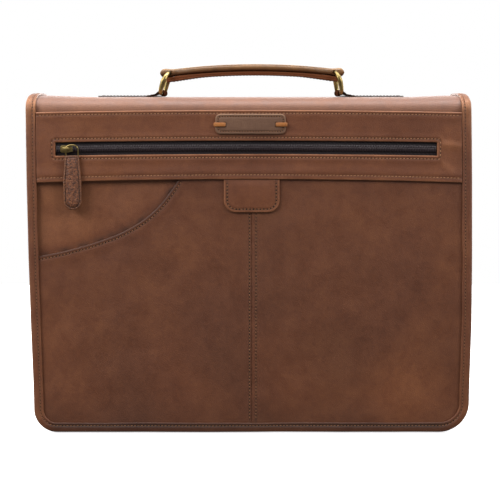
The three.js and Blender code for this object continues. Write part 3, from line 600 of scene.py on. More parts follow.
# Burnished edge of the handle's lower strap, left the brown of its leather
BROWN_EDGE = painted_edge("brown burnished edge", "#6b3f29")
FLESH = suede("suede flesh side", "#5e4230", "#8a684e")
ANTIQUE_BRASS = brass("antique brass", "#b7a169", "#6f5d36")
TAPE_CLOTH = woven_tape("zip tape twill", "#120a0f", "#25161c")
THREAD_TAN = thread_finish("tan waxed thread", "#a67650")
THREAD_BROWN = thread_finish("brown waxed thread", "#865836")
THREAD_DARK = thread_finish("dark waxed thread", "#452b1c")
# Needle holes: painted shade, a dark material for the shadow down each small hole
HOLE_SHADOW = new_material("needle hole shadow", Base_Color=srgb("#160d09"), Roughness=0.9)[0]
# Coil zip: glossy dark grey nylon
COIL = new_material("nylon coil zip", Base_Color=srgb("#42383b"), Roughness=0.27)[0]


# Sewing

def seam(points, normals, pitch=STITCH_PITCH, ends=1.2):
    """Even stitch places along a line: centre, direction and outward normal of each."""
    points = np.asarray(points, float)
    normals = np.broadcast_to(np.asarray(normals, float), points.shape)
    length = reach_along(points)
    count = max(int((length[-1] - 2 * ends) / pitch), 1)
    at = ends + (np.arange(count) + 0.5) * (length[-1] - 2 * ends) / count

    def along(values, where):
        return np.stack([np.interp(where, length, values[:, k]) for k in range(3)], -1)

    beside = 0.6
    run = unit(along(points, at + beside) - along(points, at - beside))
    out = along(normals, at)
    out = unit(out - run * np.sum(out * run, axis=1, keepdims=True))
    return along(points, at), run, out


def flap_line(x, s, n, wave=flap_wave):
    """A line on the flap, with its outward normals."""
    points = wrap(x, s, n, wave)
    return points, wrap(x, s, np.asarray(n) + 1.0, wave) - points


def stitching(name, seams, thread, slot="lacing_leather", length=STITCH_LENGTH):
    """Rows of slanted stitches, each dipping into its needle holes at both ends."""
    centre, run, out = [np.concatenate(group) for group in zip(*seams)]
    run = run * math.cos(STITCH_SLANT) + np.cross(out, run) * math.sin(STITCH_SLANT)
    side = np.cross(out, run)
    along = np.array([-1, -0.93, -0.62, 0, 0.62, 0.93, 1])
    thick = np.array([0.25, 0.62, 0.95, 1, 0.95, 0.62, 0.25]) * THREAD / 2
    height = 0.16 - 0.42 * np.abs(along) ** 3
    turn = around(7)
    middle = (centre[:, None] + run[:, None] * (along * length / 2)[None, :, None]
              + out[:, None] * height[None, :, None])
    points = (middle[:, :, None]
              + side[:, None, None] * (thick[:, None] * np.cos(turn))[None, :, :, None]
              + out[:, None, None] * (thick[:, None] * np.sin(turn))[None, :, :, None])
    one_stitch = loft_faces(len(along), len(turn), False)
    first = (np.arange(len(centre)) * len(along) * len(turn))[:, None, None]
    faces = (np.array(one_stitch[:-2]) + first).reshape(-1, 4).tolist()
    faces += (np.array(one_stitch[-2:]) + first).reshape(-1, len(turn)).tolist()
    piece = make_object(name, points.reshape(-1, 3), faces, thread, smooth_angle=80)
    holes(name.replace("stitching", "needle_holes"), centre, run, side, out, length, slot)
    place(piece, slot)


def holes(name, centre, run, side, out, length, slot):
    """A small pit at both ends of every stitch, painted dark as shade."""
    turn = around(6)
    parts, faces = [], []
    rim_count, tips = len(turn), (len(turn), len(turn) + 1)
    single = [[i, (i + 1) % rim_count, tips[0]] for i in range(rim_count)]
    single += [[(i + 1) % rim_count, i, tips[1]] for i in range(rim_count)]
    for end in (-1, 1):
        middle = centre + run * end * (length / 2 + 0.2)
        rim = (middle[:, None] + run[:, None] * (0.56 * np.cos(turn))[None, :, None]
               + side[:, None] * (0.66 * np.sin(turn))[None, :, None])
        parts.append(np.concatenate([rim, np.stack([middle + out * 0.05, middle - out * 0.3], 1)], 1))
    points = np.concatenate(parts)
    for i in range(len(points)):
        faces += [[v + points.shape[1] * i for v in face] for face in single]
    place(make_object(name, points.reshape(-1, 3), faces, HOLE_SHADOW), slot)


# Shaping of a laid panel's face

def between(low, high, places):
    """Rows that keep their distance from both edges of a panel of varying height."""
    total = places[-1]
    reach = min(9, total * 0.44)
    d = places[:, None]
    low, high = np.asarray(low)[None], np.asarray(high)[None]
    inner = low + reach + (d - reach) / (total - 2 * reach) * (high - low - 2 * reach)
    return np.where(d <= reach, low + d, np.where(d >= total - reach, high - (total - d), inner))


def hem(distance, rise=0.3, width=7.5, stitch=EDGE_STITCH, groove=0.32, radius=0.9):
    """Face of a turned edge: rounded over, thicker by its hem, pulled down along its stitching."""
    shape = rise * (1 - smooth(distance, width - 1, width + 1.5)) - radius * (1 - rounded(distance, radius))
    return shape - groove * bump(np.asarray(distance) - stitch, 0.75)


def edge_wear_and_shade(distance, strength, width, stitch=EDGE_STITCH):
    """Rubbed pale at the fold, and dark along the stitching's groove, part burnish and part painted shade.
    """
    return strength * bump(distance, width) - 0.25 * bump(np.asarray(distance) - stitch, 0.9)


# Levels of the edges on the flap

def band_base(x):
    """Lower edge of the zip band."""
    return bowed(x, BAND_BASE, BAND_BASE_BOW)


def band_top(x):
    """Upper edge of the zip band."""
    return bowed(x, BAND_TOP, BAND_TOP_BOW)


def window_base(x):
    """Lower edge of the zip's window."""
    return bowed(x, WINDOW_BASE, WINDOW_BOW)


def window_middle(x):
    """Middle of the zip's window, where the coil runs."""
    return window_base(x) + WINDOW_HEIGHT / 2


def pocket_base(x):
    """Lower edge of the slip pockets, held in the flap's binding."""
    return FLAP_LIFT + EDGE_INSET + corner_lift(x, COVER_HALF, EDGE_INSET)


def mouth(x):
    """Top edge of the left slip pocket, a swept curve that passes under the band."""
    x = np.asarray(x, float)
    length = SEAM_X - GAP / 2 + COVER_HALF
    # The table's corners are rounded by taking the mean of five places
    offsets = (-6, -3, 0, 3, 6)
    near = [np.interp((x + offset + COVER_HALF) / length, MOUTH_ALONG, MOUTH_UP) for offset in offsets]
    rise = BAND_BASE + BAND_BASE_BOW - MOUTH_BASE
    return np.minimum(MOUTH_BASE + rise * sum(near) / len(near), band_base(x) + POCKET_TUCK)


# Cover, walls and gusset

def build_cover():
    """One sheet of leather: up the flap, over the crown and down the back."""
    x = stops(-COVER_HALF, COVER_HALF, 4.5)
    lift = EDGE_INSET + corner_lift(x, COVER_HALF, EDGE_INSET)
    share = np.linspace(0, 1, 66)[:, None]
    front = (FLAP_LIFT + lift) + share[:-1] * (FLAT_HEIGHT - FLAP_LIFT - lift)
    start = FLAT_HEIGHT + CROWN_LENGTH
    crown = np.linspace(FLAT_HEIGHT, start, 70)[:, None] + 0 * x
    back = start + share[1:] * (SHEET_LENGTH - lift - start)
    s = np.concatenate([front, crown, back])
    x = np.broadcast_to(x, s.shape)
    # Slow hollows in the middle of the back
    behind = smooth(s, start + 5, start + 50) * (1 - smooth(s, SHEET_LENGTH - 40, SHEET_LENGTH - 12))
    behind = behind * (1 - smooth(np.abs(x), 160, 186))
    soft = behind * (0.7 * ripple(x, s, 21, 160) + 0.25 * ripple(x, s, 22, 50) - 0.5)
    # Painted sheen on top for the glancing light, and the turn in front painted paler: part rubbing, part
    # painted highlight
    over = smooth(s, FLAT_HEIGHT - 5, FLAT_HEIGHT + 3) * (1 - smooth(s, start - 9, start + 2))
    wear_and_shade = 0.02 * over + 0.3 * bump(s - FLAT_HEIGHT, 6)
    # Painted light: between the slip pocket's mouth and the band the cover is paler and warmer, most towards
    # the lit left
    wear_and_shade = wear_and_shade + (0.24 - 0.14 * smooth(x, -190, -90)) * (s < FLAT_HEIGHT - 20)
    # Painted shade: a dark line along the mouth, where the pocket's edge shades the cover
    above = s - mouth(x)
    wear_and_shade = wear_and_shade - (x < SEAM_X) * (0.75 * bump(above - 0.6, 1.6) + 0.25 * bump(above - 3, 5))
    piece = panel("cover_leather", wrap(x, s, soft), wrap(x, s, soft - COVER_LEATHER), [HIDE, FLESH], wear_and_shade,
                  bloom=0.09 * over)
    place(piece, "pull_up_leather", "cover")


def edge_stations(half, lowest, inset, levels):
    """Places down the left side, round both bottom corners and up the right side."""
    rows = []
    for sign, radius in ((-1, LEFT_RADIUS - inset), (1, RIGHT_RADIUS - inset)):
        side = [(sign * half, z, sign, 0) for z in levels if z > lowest + radius + 1]
        for angle in np.radians(np.linspace(0, 90, 15)):
            out = (sign * math.cos(angle), -math.sin(angle))
            side.append((sign * (half - radius) + radius * out[0], lowest + radius + radius * out[1], *out))
        if sign < 0:
            rows += side
            bottom = np.linspace(-half + radius, half - RIGHT_RADIUS + inset, 60)[1:-1]
            rows += [(x, lowest, 0, -1) for x in bottom]
        else:
            rows += side[::-1]
    return np.array(rows, float)


BINDING_SEAM_OUT = GAP + BINDING_LEATHER - SEAM_SINK
FOLD_ROUND = 2.5
LEG_PLACES = np.array([0, 0.12, 0.35, 0.7, 1.2, 1.8, 2.3, 2.6, 2.8, 3.0, 3.3, 3.8, 4.6, 5.6])


def binding_section(front_stack, back_stack):
    """Fold of binding leather round an edge: across is 0 at its outside, out is 0 on the face it holds."""
    face, back = GAP + front_stack, -(COVER_LEATHER + GAP + back_stack)
    top, low = face + BINDING_LEATHER, back - BINDING_LEATHER
    drop = -0.75 * (1 - rounded(LEG_PLACES, 0.7)) - 0.4 * bump(LEG_PLACES - EDGE_STITCH, 0.6)
    drop = drop + 0.22 * np.sin(math.pi * np.clip((LEG_PLACES - 3) / 5, 0, 1))
    turn = np.radians(np.linspace(90, 0, 7))
    leg = np.stack([-BINDING_WIDTH + LEG_PLACES, drop], -1)
    fold = np.stack([-FOLD_ROUND + FOLD_ROUND * np.cos(turn), FOLD_ROUND * np.sin(turn) - FOLD_ROUND], -1)
    half = np.concatenate([leg, fold])
    front, rear = half + [0, top], half * [1, -1] + [0, low]
    slot = np.array([[-BINDING_WIDTH, back], [-BINDING_LEATHER, back], [-BINDING_LEATHER, face],
                     [-BINDING_WIDTH, face]])
    rub = edge_wear_and_shade(LEG_PLACES, strength=0.15, width=0.8)
    fold_rub = 0.25 * np.sin(np.linspace(0, math.pi / 2, 7))
    wear_and_shade = np.concatenate([rub, fold_rub])
    return np.concatenate([front, rear[::-1], slot]), np.concatenate([wear_and_shade, wear_and_shade[::-1], np.zeros(4)])


def bind(node, rows, section_at, lay, seed, more_wear_and_shade, wander=0.25, rubbed=0.8):
    """Binding leather folded round an edge; lay takes places across, along and out."""
    sections, wear_and_shade = [], []
    for x, level, out_x, out_up in rows:
        outline, rub = section_at(level)
        across = outline[:, 0] - wander * float(ripple(level, x, seed, 60)) * smooth(-outline[:, 0], 4, 9)
        sections.append(lay(x + out_x * across, level + out_up * across, outline[:, 1]))
        rub = rub * (rubbed + 0.5 * float(ripple(level, x, seed + 1, 45)))
        wear_and_shade.append(rub + more_wear_and_shade(level, out_x, out_up, outline[:, 0]))
    place(loft(f"{node}_leather", sections, BINDING_HIDE, np.concatenate(wear_and_shade)), "binding_leather", node)


def binding_seam(rows, lay, out_at, side=1):
    """Stitch places along a binding, on its front or, with side -1, on its back."""
    across = -BINDING_WIDTH + EDGE_STITCH
    places = [(x + out_x * across, level + out_up * across, out_at(level))
              for x, level, out_x, out_up in rows]
    points = np.array([lay(x, level, n) for x, level, n in places])
    beyond = np.array([lay(x, level, n + 1) for x, level, n in places])
    return seam(points, (beyond - points) * side)


def build_flap_binding():
    """Binding round the flap's sides, its rounded low corners, its bottom and over the crown."""
    front = np.linspace(0.02, 1, 62)[:-1] * FLAT_HEIGHT
    crown = np.linspace(FLAT_HEIGHT, FLAT_HEIGHT + CROWN_LENGTH - GAP / 2, 60)
    rows = edge_stations(CASE_WIDTH / 2, FLAP_LIFT, 0, np.concatenate([front, crown])[::-1])

    def stack(level):
        return POCKET_STACK * (1 - float(smooth(level, FLAT_HEIGHT, FLAT_HEIGHT + CROWN_RISE)))

    def handled(level, out_x, out_up, across):
        """Pale at the crown's front and back corners and at the low corners; painted shade along the bottom,
        which faces down.
        """
        front_corner = 0.55 * bump(level - FLAT_HEIGHT - 5, 16)
        back_corner = 0.3 * bump(level - FLAT_HEIGHT - CROWN_LENGTH + 8, 16)
        # Painted shade where the binding turns under the bottom
        bottom = max(-out_up, 0) ** 2 * (0.75 - 0.45 * smooth(across, -6, -1))
        return front_corner + back_corner + 0.4 * abs(out_x * out_up) - bottom

    bind("flap_binding", rows, lambda level: binding_section(stack(level), 0), wrap, 41, handled)
    on_front = binding_seam(rows, wrap, lambda level: BINDING_SEAM_OUT + stack(level))
    inside = binding_seam(rows, wrap, lambda level: -COVER_LEATHER - BINDING_SEAM_OUT, -1)
    stitching("stitching_flap_binding_front", [on_front], THREAD_BROWN)
    stitching("stitching_flap_binding_inside", [inside], THREAD_BROWN)


def build_back_binding():
    """Binding that holds the gusset to the back."""
    levels = np.append(np.linspace(0.02, 0.99, 60) * FLAT_HEIGHT, FLAT_HEIGHT - GAP / 2)[::-1]
    rows = edge_stations(CASE_WIDTH / 2, 0, 0, levels)

    def section_at(level):
        return binding_section(0, GUSSET_STACK * (1 - float(smooth(level, GUSSET_TOP, FLAT_HEIGHT))))

    def lay(x, level, n):
        return wrap(x, SHEET_LENGTH - level, n, None)

    def handled(level, out_x, out_up, across):
        """Pale at both low corners."""
        return 0.5 * abs(out_x * out_up)

    bind("back_binding", rows, section_at, lay, 43, handled)
    seams = [binding_seam(rows, lay, lambda level: BINDING_SEAM_OUT)]
    stitching("stitching_back_binding", seams, THREAD_BROWN)


def build_front_wall():
    """Front of the body, hidden by the flap, with a turned top edge."""
    half, inset = BODY_HALF - EDGE_INSET, BODY_INSET + EDGE_INSET
    x = stops(-half, half, 6)
    low = EDGE_INSET + corner_lift(x, half, inset)
    z = between(low, np.full_like(x, WALL_TOP), stops(0, WALL_TOP - EDGE_INSET, 6))
    x = np.broadcast_to(x, z.shape)
    top = WALL_TOP - z
    soft = 0.3 * ripple(x, z, 51, 90) * smooth(half - np.abs(x), 8, 40) * smooth(top, 5, 30)
    soft = soft + hem(top, width=14, stitch=WALL_SEAM)
    face, back = settle(x, WALL_FACE - soft, z), settle(x, WALL_FACE + COVER_LEATHER + 0 * z, z)
    wear_and_shade = edge_wear_and_shade(top, strength=0.7, width=1.2, stitch=WALL_SEAM)
    place(panel("front_wall_leather", face, back, [BODY_HIDE, FLESH], wear_and_shade), "body_leather", "front_wall")
    line = np.linspace(-half + 8, half - 8, 80)
    points = settle(line, np.full_like(line, WALL_FACE + 0.05), np.full_like(line, WALL_TOP - WALL_SEAM))
    stitching("stitching_wall_top", [seam(points, [0, -1, 0])], THREAD_BROWN)


def build_wall_binding():
    """Binding that holds the gusset to the front wall."""
    levels = np.append(np.linspace(0.02, 0.97, 52) * WALL_TOP, WALL_TOP)[::-1]
    rows = edge_stations(BODY_HALF, 0, BODY_INSET, levels)
    section = binding_section(0, GUSSET_STACK)

    def lay(x, level, n):
        return settle(x, WALL_FACE - n, level)

    bind("front_wall_binding", rows, lambda level: section, lay, 44, lambda *station: 0,
         wander=0, rubbed=0.7)
    seams = [binding_seam(rows, lay, lambda level: BINDING_SEAM_OUT)]
    stitching("stitching_wall_binding", seams, THREAD_BROWN)


def build_gusset():
    """One strip down, along the bottom and up, its middle drawn in a little between the seams."""
    flange, leather, soft = GUSSET_SETBACK - EDGE_INSET, GUSSET_LEATHER, 1.0
    front, rear = GUSSET_LOW[1] - CENTRE[1], GUSSET_HIGH[1] - CENTRE[1]
    middle, depth = (front + rear) / 2, rear - front
    across = np.linspace(front + leather + soft, rear - leather - soft, 26)
    belly = -1.6 * np.cos(math.pi * (across - middle) / depth) ** 2
    turn = np.radians(np.linspace(0, 90, 5))
    outer = [[flange, front], [flange, front + leather]]
    outer += [[soft - soft * math.sin(a), front + leather + soft - soft * math.cos(a)] for a in turn]
    outer += [[b, y] for b, y in zip(belly, across)][1:-1]
    outer += [[soft - soft * math.cos(a), rear - leather - soft + soft * math.sin(a)] for a in turn]
    outer += [[flange, rear - leather], [flange, rear], [-leather, rear]]
    inner = [[b - leather, y] for b, y in zip(belly, across)][::-1]
    outline = np.array(outer + inner[1:-1] + [[-leather, front]])
    levels = np.append(np.linspace(0.02, 0.96, 52) * WALL_TOP, WALL_TOP)[::-1]
    rows = edge_stations(BODY_HALF - GUSSET_SETBACK, GUSSET_SETBACK, BODY_INSET + GUSSET_SETBACK, levels)
    slope = WALL_TOP + (GUSSET_TOP - WALL_TOP) * (outline[:, 1] - front) / depth
    free = np.clip(np.cos(math.pi * (outline[:, 1] - middle) / depth), 0, 1)
    sections = []
    for x, level, out_x, out_up in rows:
        top = level >= WALL_TOP - 0.01
        z = slope if top else level + out_up * outline[:, 0]
        held = top or abs(out_up) > 0.01
        wobble = 0 if held else 0.8 * float(ripple(level, x, 47, 110)) * free
        sections.append(settle(x + out_x * (outline[:, 0] + wobble), outline[:, 1], z))
    place(loft("gusset_leather", sections, BODY_HIDE, smooth_angle=50), "body_leather", "gusset")


# Flap face

def build_pockets():
    """Two slip pockets that meet at the centre seam, the left one with a swept mouth."""
    for side, node in ((-1, "pocket_panel_left"), (1, "pocket_panel_right")):
        if side < 0:
            x = stops(-COVER_HALF, SEAM_X - GAP / 2, 3.4)
            high = mouth(x)
        else:
            x = stops(SEAM_X + GAP / 2, COVER_HALF, 3.4)
            high = band_base(x) + POCKET_TUCK
        s = between(pocket_base(x), high, stops(0, 225, 4))
        steep = np.gradient(high, x)
        x, high = np.broadcast_to(x, s.shape), np.broadcast_to(high, s.shape)
        from_seam = np.abs(x - SEAM_X) - GAP / 2
        # The left panel's top edge is the open mouth; the right panel's is hidden under the band
        opening = (high - s) / np.sqrt(1 + steep[None] ** 2) if side < 0 else np.full_like(s, 50)
        reveal, rise = (LEFT_PANEL_SEAM, 0.1) if side < 0 else (RIGHT_PANEL_SEAM, 0.28)
        shape = hem(opening, rise=0.22, width=8.5, stitch=MOUTH_SEAM)
        shape = shape + hem(from_seam, rise, width=7, stitch=reveal, groove=0.34, radius=0.6)
        # Painted shade: the mouth's rounded edge is painted dark instead of pale, for the dark gap along it
        wear_and_shade = edge_wear_and_shade(opening, strength=-0.55, width=1.4, stitch=MOUTH_SEAM)
        wear_and_shade = wear_and_shade + edge_wear_and_shade(from_seam, strength=0.12, width=1.0, stitch=reveal)
        wear_and_shade = wear_and_shade + 0.16 * bump(s - 40, 60) * ripple(x, s, 60 + side, 120)
        # Darker than the flap; darker still right of the centre seam and along the bottom, as painted shade
        wear_and_shade = wear_and_shade - 0.13 - 0.1 * bump(x - SEAM_X - 12, 30) - 0.2 * (1 - smooth(s, 4, 40))
        face, back = wrap(x, s, POCKET_STACK + shape), wrap(x, s, GAP)
        place(panel(f"{node}_leather", face, back, [HIDE, FLESH], wear_and_shade), "pull_up_leather", node)
    along = np.linspace(-COVER_HALF + 6, -64, 120)
    lean = np.arctan(np.gradient(mouth(along), along))
    below = mouth(along) - MOUTH_SEAM * np.cos(lean)
    row = flap_line(along + MOUTH_SEAM * np.sin(lean), below, POCKET_STACK)
    height = np.linspace(12, BAND_BASE - 24, 90)
    left = flap_line(np.full(90, SEAM_X - GAP / 2 - LEFT_PANEL_SEAM), height, POCKET_STACK - 0.15)
    right = flap_line(np.full(90, SEAM_X + GAP / 2 + RIGHT_PANEL_SEAM), height, POCKET_STACK)
    stitching("stitching_pocket_mouth", [seam(*row)], THREAD_BROWN)
    stitching("stitching_centre_seam", [seam(*left), seam(*right)], THREAD_BROWN)


def build_band():
    """The folded band across the flap, cut through for the zip's window."""
    x = np.concatenate([stops(-BAND_HALF, WINDOW_LEFT, 4), stops(WINDOW_LEFT, WINDOW_RIGHT, 4)[1:],
                        stops(WINDOW_RIGHT, BAND_HALF, 4)[1:]])
    low, high = band_base(x), band_top(x)
    sill, lintel = window_base(x), window_base(x) + WINDOW_HEIGHT
    parts = ((low, sill, 24), (sill, lintel, 12), (lintel, high, 28))
    below, beside, above = [between(start, end, stops(0, length, 2.4)) for start, end, length in parts]
    s = np.concatenate([below, beside[1:], above[1:]])
    between_ends = 0.5 * (x[1:] + x[:-1])
    leather = np.ones((s.shape[0] - 1, s.shape[1] - 1), bool)
    window_rows = slice(len(below) - 1, len(below) + len(beside) - 2)
    leather[window_rows, (between_ends > WINDOW_LEFT) & (between_ends < WINDOW_RIGHT)] = False
    x = np.broadcast_to(x, s.shape)
    off_x = np.maximum(np.maximum(WINDOW_LEFT - x, x - WINDOW_RIGHT), 0)
    off_s = np.maximum(np.maximum(sill - s, s - lintel), 0)
    off = np.hypot(off_x, off_s)
    shape = hem(s - low, rise=0.35, width=9.5, stitch=BAND_SEAM)
    shape = shape + hem(off, rise=0.2, width=6, stitch=WINDOW_SEAM, groove=0.34, radius=0.8)
    shape = shape + hem(high - s, rise=0.2, width=7, groove=0.3, radius=0.8)
    shape = shape + 0.7 * (rounded(BAND_HALF - np.abs(x), 0.5) - 1)
    wear_and_shade = edge_wear_and_shade(s - low, strength=0.5, width=1.3, stitch=BAND_SEAM)
    wear_and_shade = wear_and_shade + edge_wear_and_shade(off, strength=0.5, width=1.1, stitch=WINDOW_SEAM)
    wear_and_shade = wear_and_shade + edge_wear_and_shade(high - s, strength=0.45, width=1.2)
    # Pinched past the zip's right end: one fold runs straight on, one down from the window's corner
    past, over = x - WINDOW_RIGHT, s - window_middle(x)
    straight = bump(over - 5 + 0.1 * past, 3.2) * smooth(past, 2, 7) * (1 - smooth(past, 17, 25))
    corner = bump(over + 9 + 0.85 * past, 3.0) * smooth(past, 2, 6) * (1 - smooth(past, 12, 19))
    shape = shape + 0.55 * straight + 0.45 * corner
    wear_and_shade = wear_and_shade + 0.3 * straight + 0.22 * corner + 0.08 * smooth(past, 0, 12) * smooth(s - low, 8, 14)
    face, back = wrap(x, s, BAND_FACE + shape), wrap(x, s, BAND_BACK)
    place(panel("zip_band_leather", face, back, [HIDE, FLESH], wear_and_shade, leather), "pull_up_leather", "zip_band")
    line = np.linspace(-BAND_HALF + 1, BAND_HALF - 1, 200)
    base = flap_line(line, band_base(line) + BAND_SEAM, BAND_FACE + 0.05)
    top = flap_line(line, band_top(line) - EDGE_STITCH, BAND_FACE - 0.1)
    stitching("stitching_band", [seam(*base), seam(*top)], THREAD_TAN)
    left, right = WINDOW_LEFT - WINDOW_SEAM, WINDOW_RIGHT + WINDOW_SEAM
    across = np.linspace(left, right, 200)
    rise = np.linspace(-WINDOW_SEAM, WINDOW_HEIGHT + WINDOW_SEAM, 12)
    rows = [seam(*flap_line(across, window_base(across) + level, BAND_FACE - 0.1), ends=0)
            for level in (rise[0], rise[-1])]
    rows += [seam(*flap_line(np.full(12, end), window_base(end) + rise, BAND_FACE - 0.1), ends=1.5)
             for end in (left, right)]
    stitching("stitching_zip_window", rows, THREAD_TAN)


def build_tapes():
    """Woven tapes behind the window, their inner edges under the coil."""
    x = np.linspace(WINDOW_LEFT - 4, WINDOW_RIGHT + 4, 120)
    face = BAND_BACK - GAP
    for side, node in ((-1, "zip_tape_lower"), (1, "zip_tape_upper")):
        near, far = window_middle(x) + side * GAP / 2, window_middle(x) + side * TAPE_REACH
        s = near + np.linspace(0, 1, 14)[:, None] * (far - near)
        reach = np.abs(s - window_middle(x))
        n = face - 0.25 * smooth(reach, 3, 5) + 0.08 * ripple(x, s, 70 + side, 14)
        wide = np.broadcast_to(x, s.shape)
        back = wrap(wide, s, face - TAPE_THICKNESS)
        place(panel(f"{node}_cloth", wrap(wide, s, n), back, TAPE_CLOTH, 0 * s), "zip_tape_cloth", node)


def build_coil():
    """Two rows of coil loops meeting in the middle, their heads in each other's gaps."""
    start, end = WINDOW_LEFT + 0.7, WINDOW_RIGHT - 0.7
    count = int((end - start) / COIL_PITCH)
    base = BAND_BACK - 0.05 + 0.3
    # One loop seen from its side: across the zip, and out
    loop = np.array([[-2.7, 0.35], [-2.2, 0.8], [-1.2, 1.05], [-0.2, 1.05], [0.5, 0.85], [0.62, 0.45],
                     [0.2, 0.2], [-1.2, 0.12], [-2.4, 0.12]])
    tangent = unit(np.roll(loop, -1, 0) - np.roll(loop, 1, 0))
    turn = around(7)
    u = loop[:, :1] - tangent[:, 1:] * (COIL_YARN / 2 * np.cos(turn))
    n = loop[:, 1:] + tangent[:, :1] * (COIL_YARN / 2 * np.cos(turn))
    single = np.array(loft_faces(len(loop), len(turn), True))
    points, faces = [], []
    for side, offset in ((-1, 0.25), (1, 0.75)):
        lean = 0.28 * side * np.linspace(-1, 1, len(loop))[:, None]
        for k in range(count):
            x = start + (k + offset) * COIL_PITCH
            shift = COIL_YARN / 2 * np.sin(turn) + lean
            points.append(wrap(x + shift, float(window_middle(x)) - side * u, base + n).reshape(-1, 3))
            faces.append(single + len(faces) * len(loop) * len(turn))
    faces = np.concatenate(faces).tolist()
    coil = make_object("zip_coil", np.concatenate(points), faces, COIL, smooth_angle=80)
    place(coil, "zip_coil", "zip_chain")


def build_tab():
    """Tab with a rounded end, hanging from under the band over the centre seam."""
    x = stops(SEAM_X - TAB_HALF, SEAM_X + TAB_HALF, 2.2)
    floor = BAND_BASE + BAND_BASE_BOW - TAB_DROP
    into_corner = np.clip(np.abs(x - SEAM_X) - (TAB_HALF - TAB_ROUND), 0, TAB_ROUND)
    low = floor + TAB_ROUND - np.sqrt(TAB_ROUND ** 2 - into_corner ** 2)
    high = band_base(x) - GAP
    s = between(low, high, stops(0, TAB_DROP - 1, 2.2))
    x = np.broadcast_to(x, s.shape)
    # Distance in from the tab's rounded outline
    corner_x = np.clip(np.abs(x - SEAM_X) - (TAB_HALF - TAB_ROUND), 0, None)
    corner_s = np.clip(floor + TAB_ROUND - s, 0, None)
    from_sides = np.minimum(TAB_HALF - np.abs(x - SEAM_X), s - floor)
    from_corner = TAB_ROUND - np.hypot(corner_x, corner_s)
    inward = np.clip(np.where((corner_x > 0) & (corner_s > 0), from_corner, from_sides), 0, None)
    shape = hem(inward, rise=0.1, width=6, stitch=TAB_SEAM, groove=0.34)
    shape = shape + 0.5 * smooth(inward, 2, 14) * smooth(high - s, 0, 6)
    # Painted shade just under the band's edge
    wear_and_shade = edge_wear_and_shade(inward, strength=0.5, width=1.2, stitch=TAB_SEAM) - 0.2 * bump(high - s, 1.5)
    face, back = wrap(x, s, BAND_FACE + shape), wrap(x, s, BAND_BACK)
    place(panel("pocket_tab_leather", face, back, [HIDE, FLESH], wear_and_shade), "pull_up_leather", "pocket_tab")
    reach, floor, radius = TAB_HALF - TAB_SEAM, floor + TAB_SEAM, TAB_ROUND - TAB_SEAM
    turn = np.radians(np.linspace(180, 270, 12))
    line = [(-reach, z) for z in np.linspace(BAND_BASE + 1, floor + radius, 8)]
    line += [(-reach + radius + radius * math.cos(a), floor + radius + radius * math.sin(a)) for a in turn]
    line = np.array(line + [(-u, v) for u, v in line[::-1]])
    row = flap_line(line[:, 0] + SEAM_X, line[:, 1], BAND_FACE - 0.05)
    stitching("stitching_tab", [seam(*row)], THREAD_BROWN)


def rounded_outline(half, tall, radius, steps=8):
    """Rounded rectangle about its middle; half and tall are half its width and height."""
    corners = ((1, -1, -90), (1, 1, 0), (-1, 1, 90), (-1, -1, 180))
    return np.array([
        (across * (half - radius) + radius * math.cos(a), up * (tall - radius) + radius * math.sin(a))
        for across, up, first in corners
        for a in np.radians(np.linspace(first, first + 90, steps))
    ])


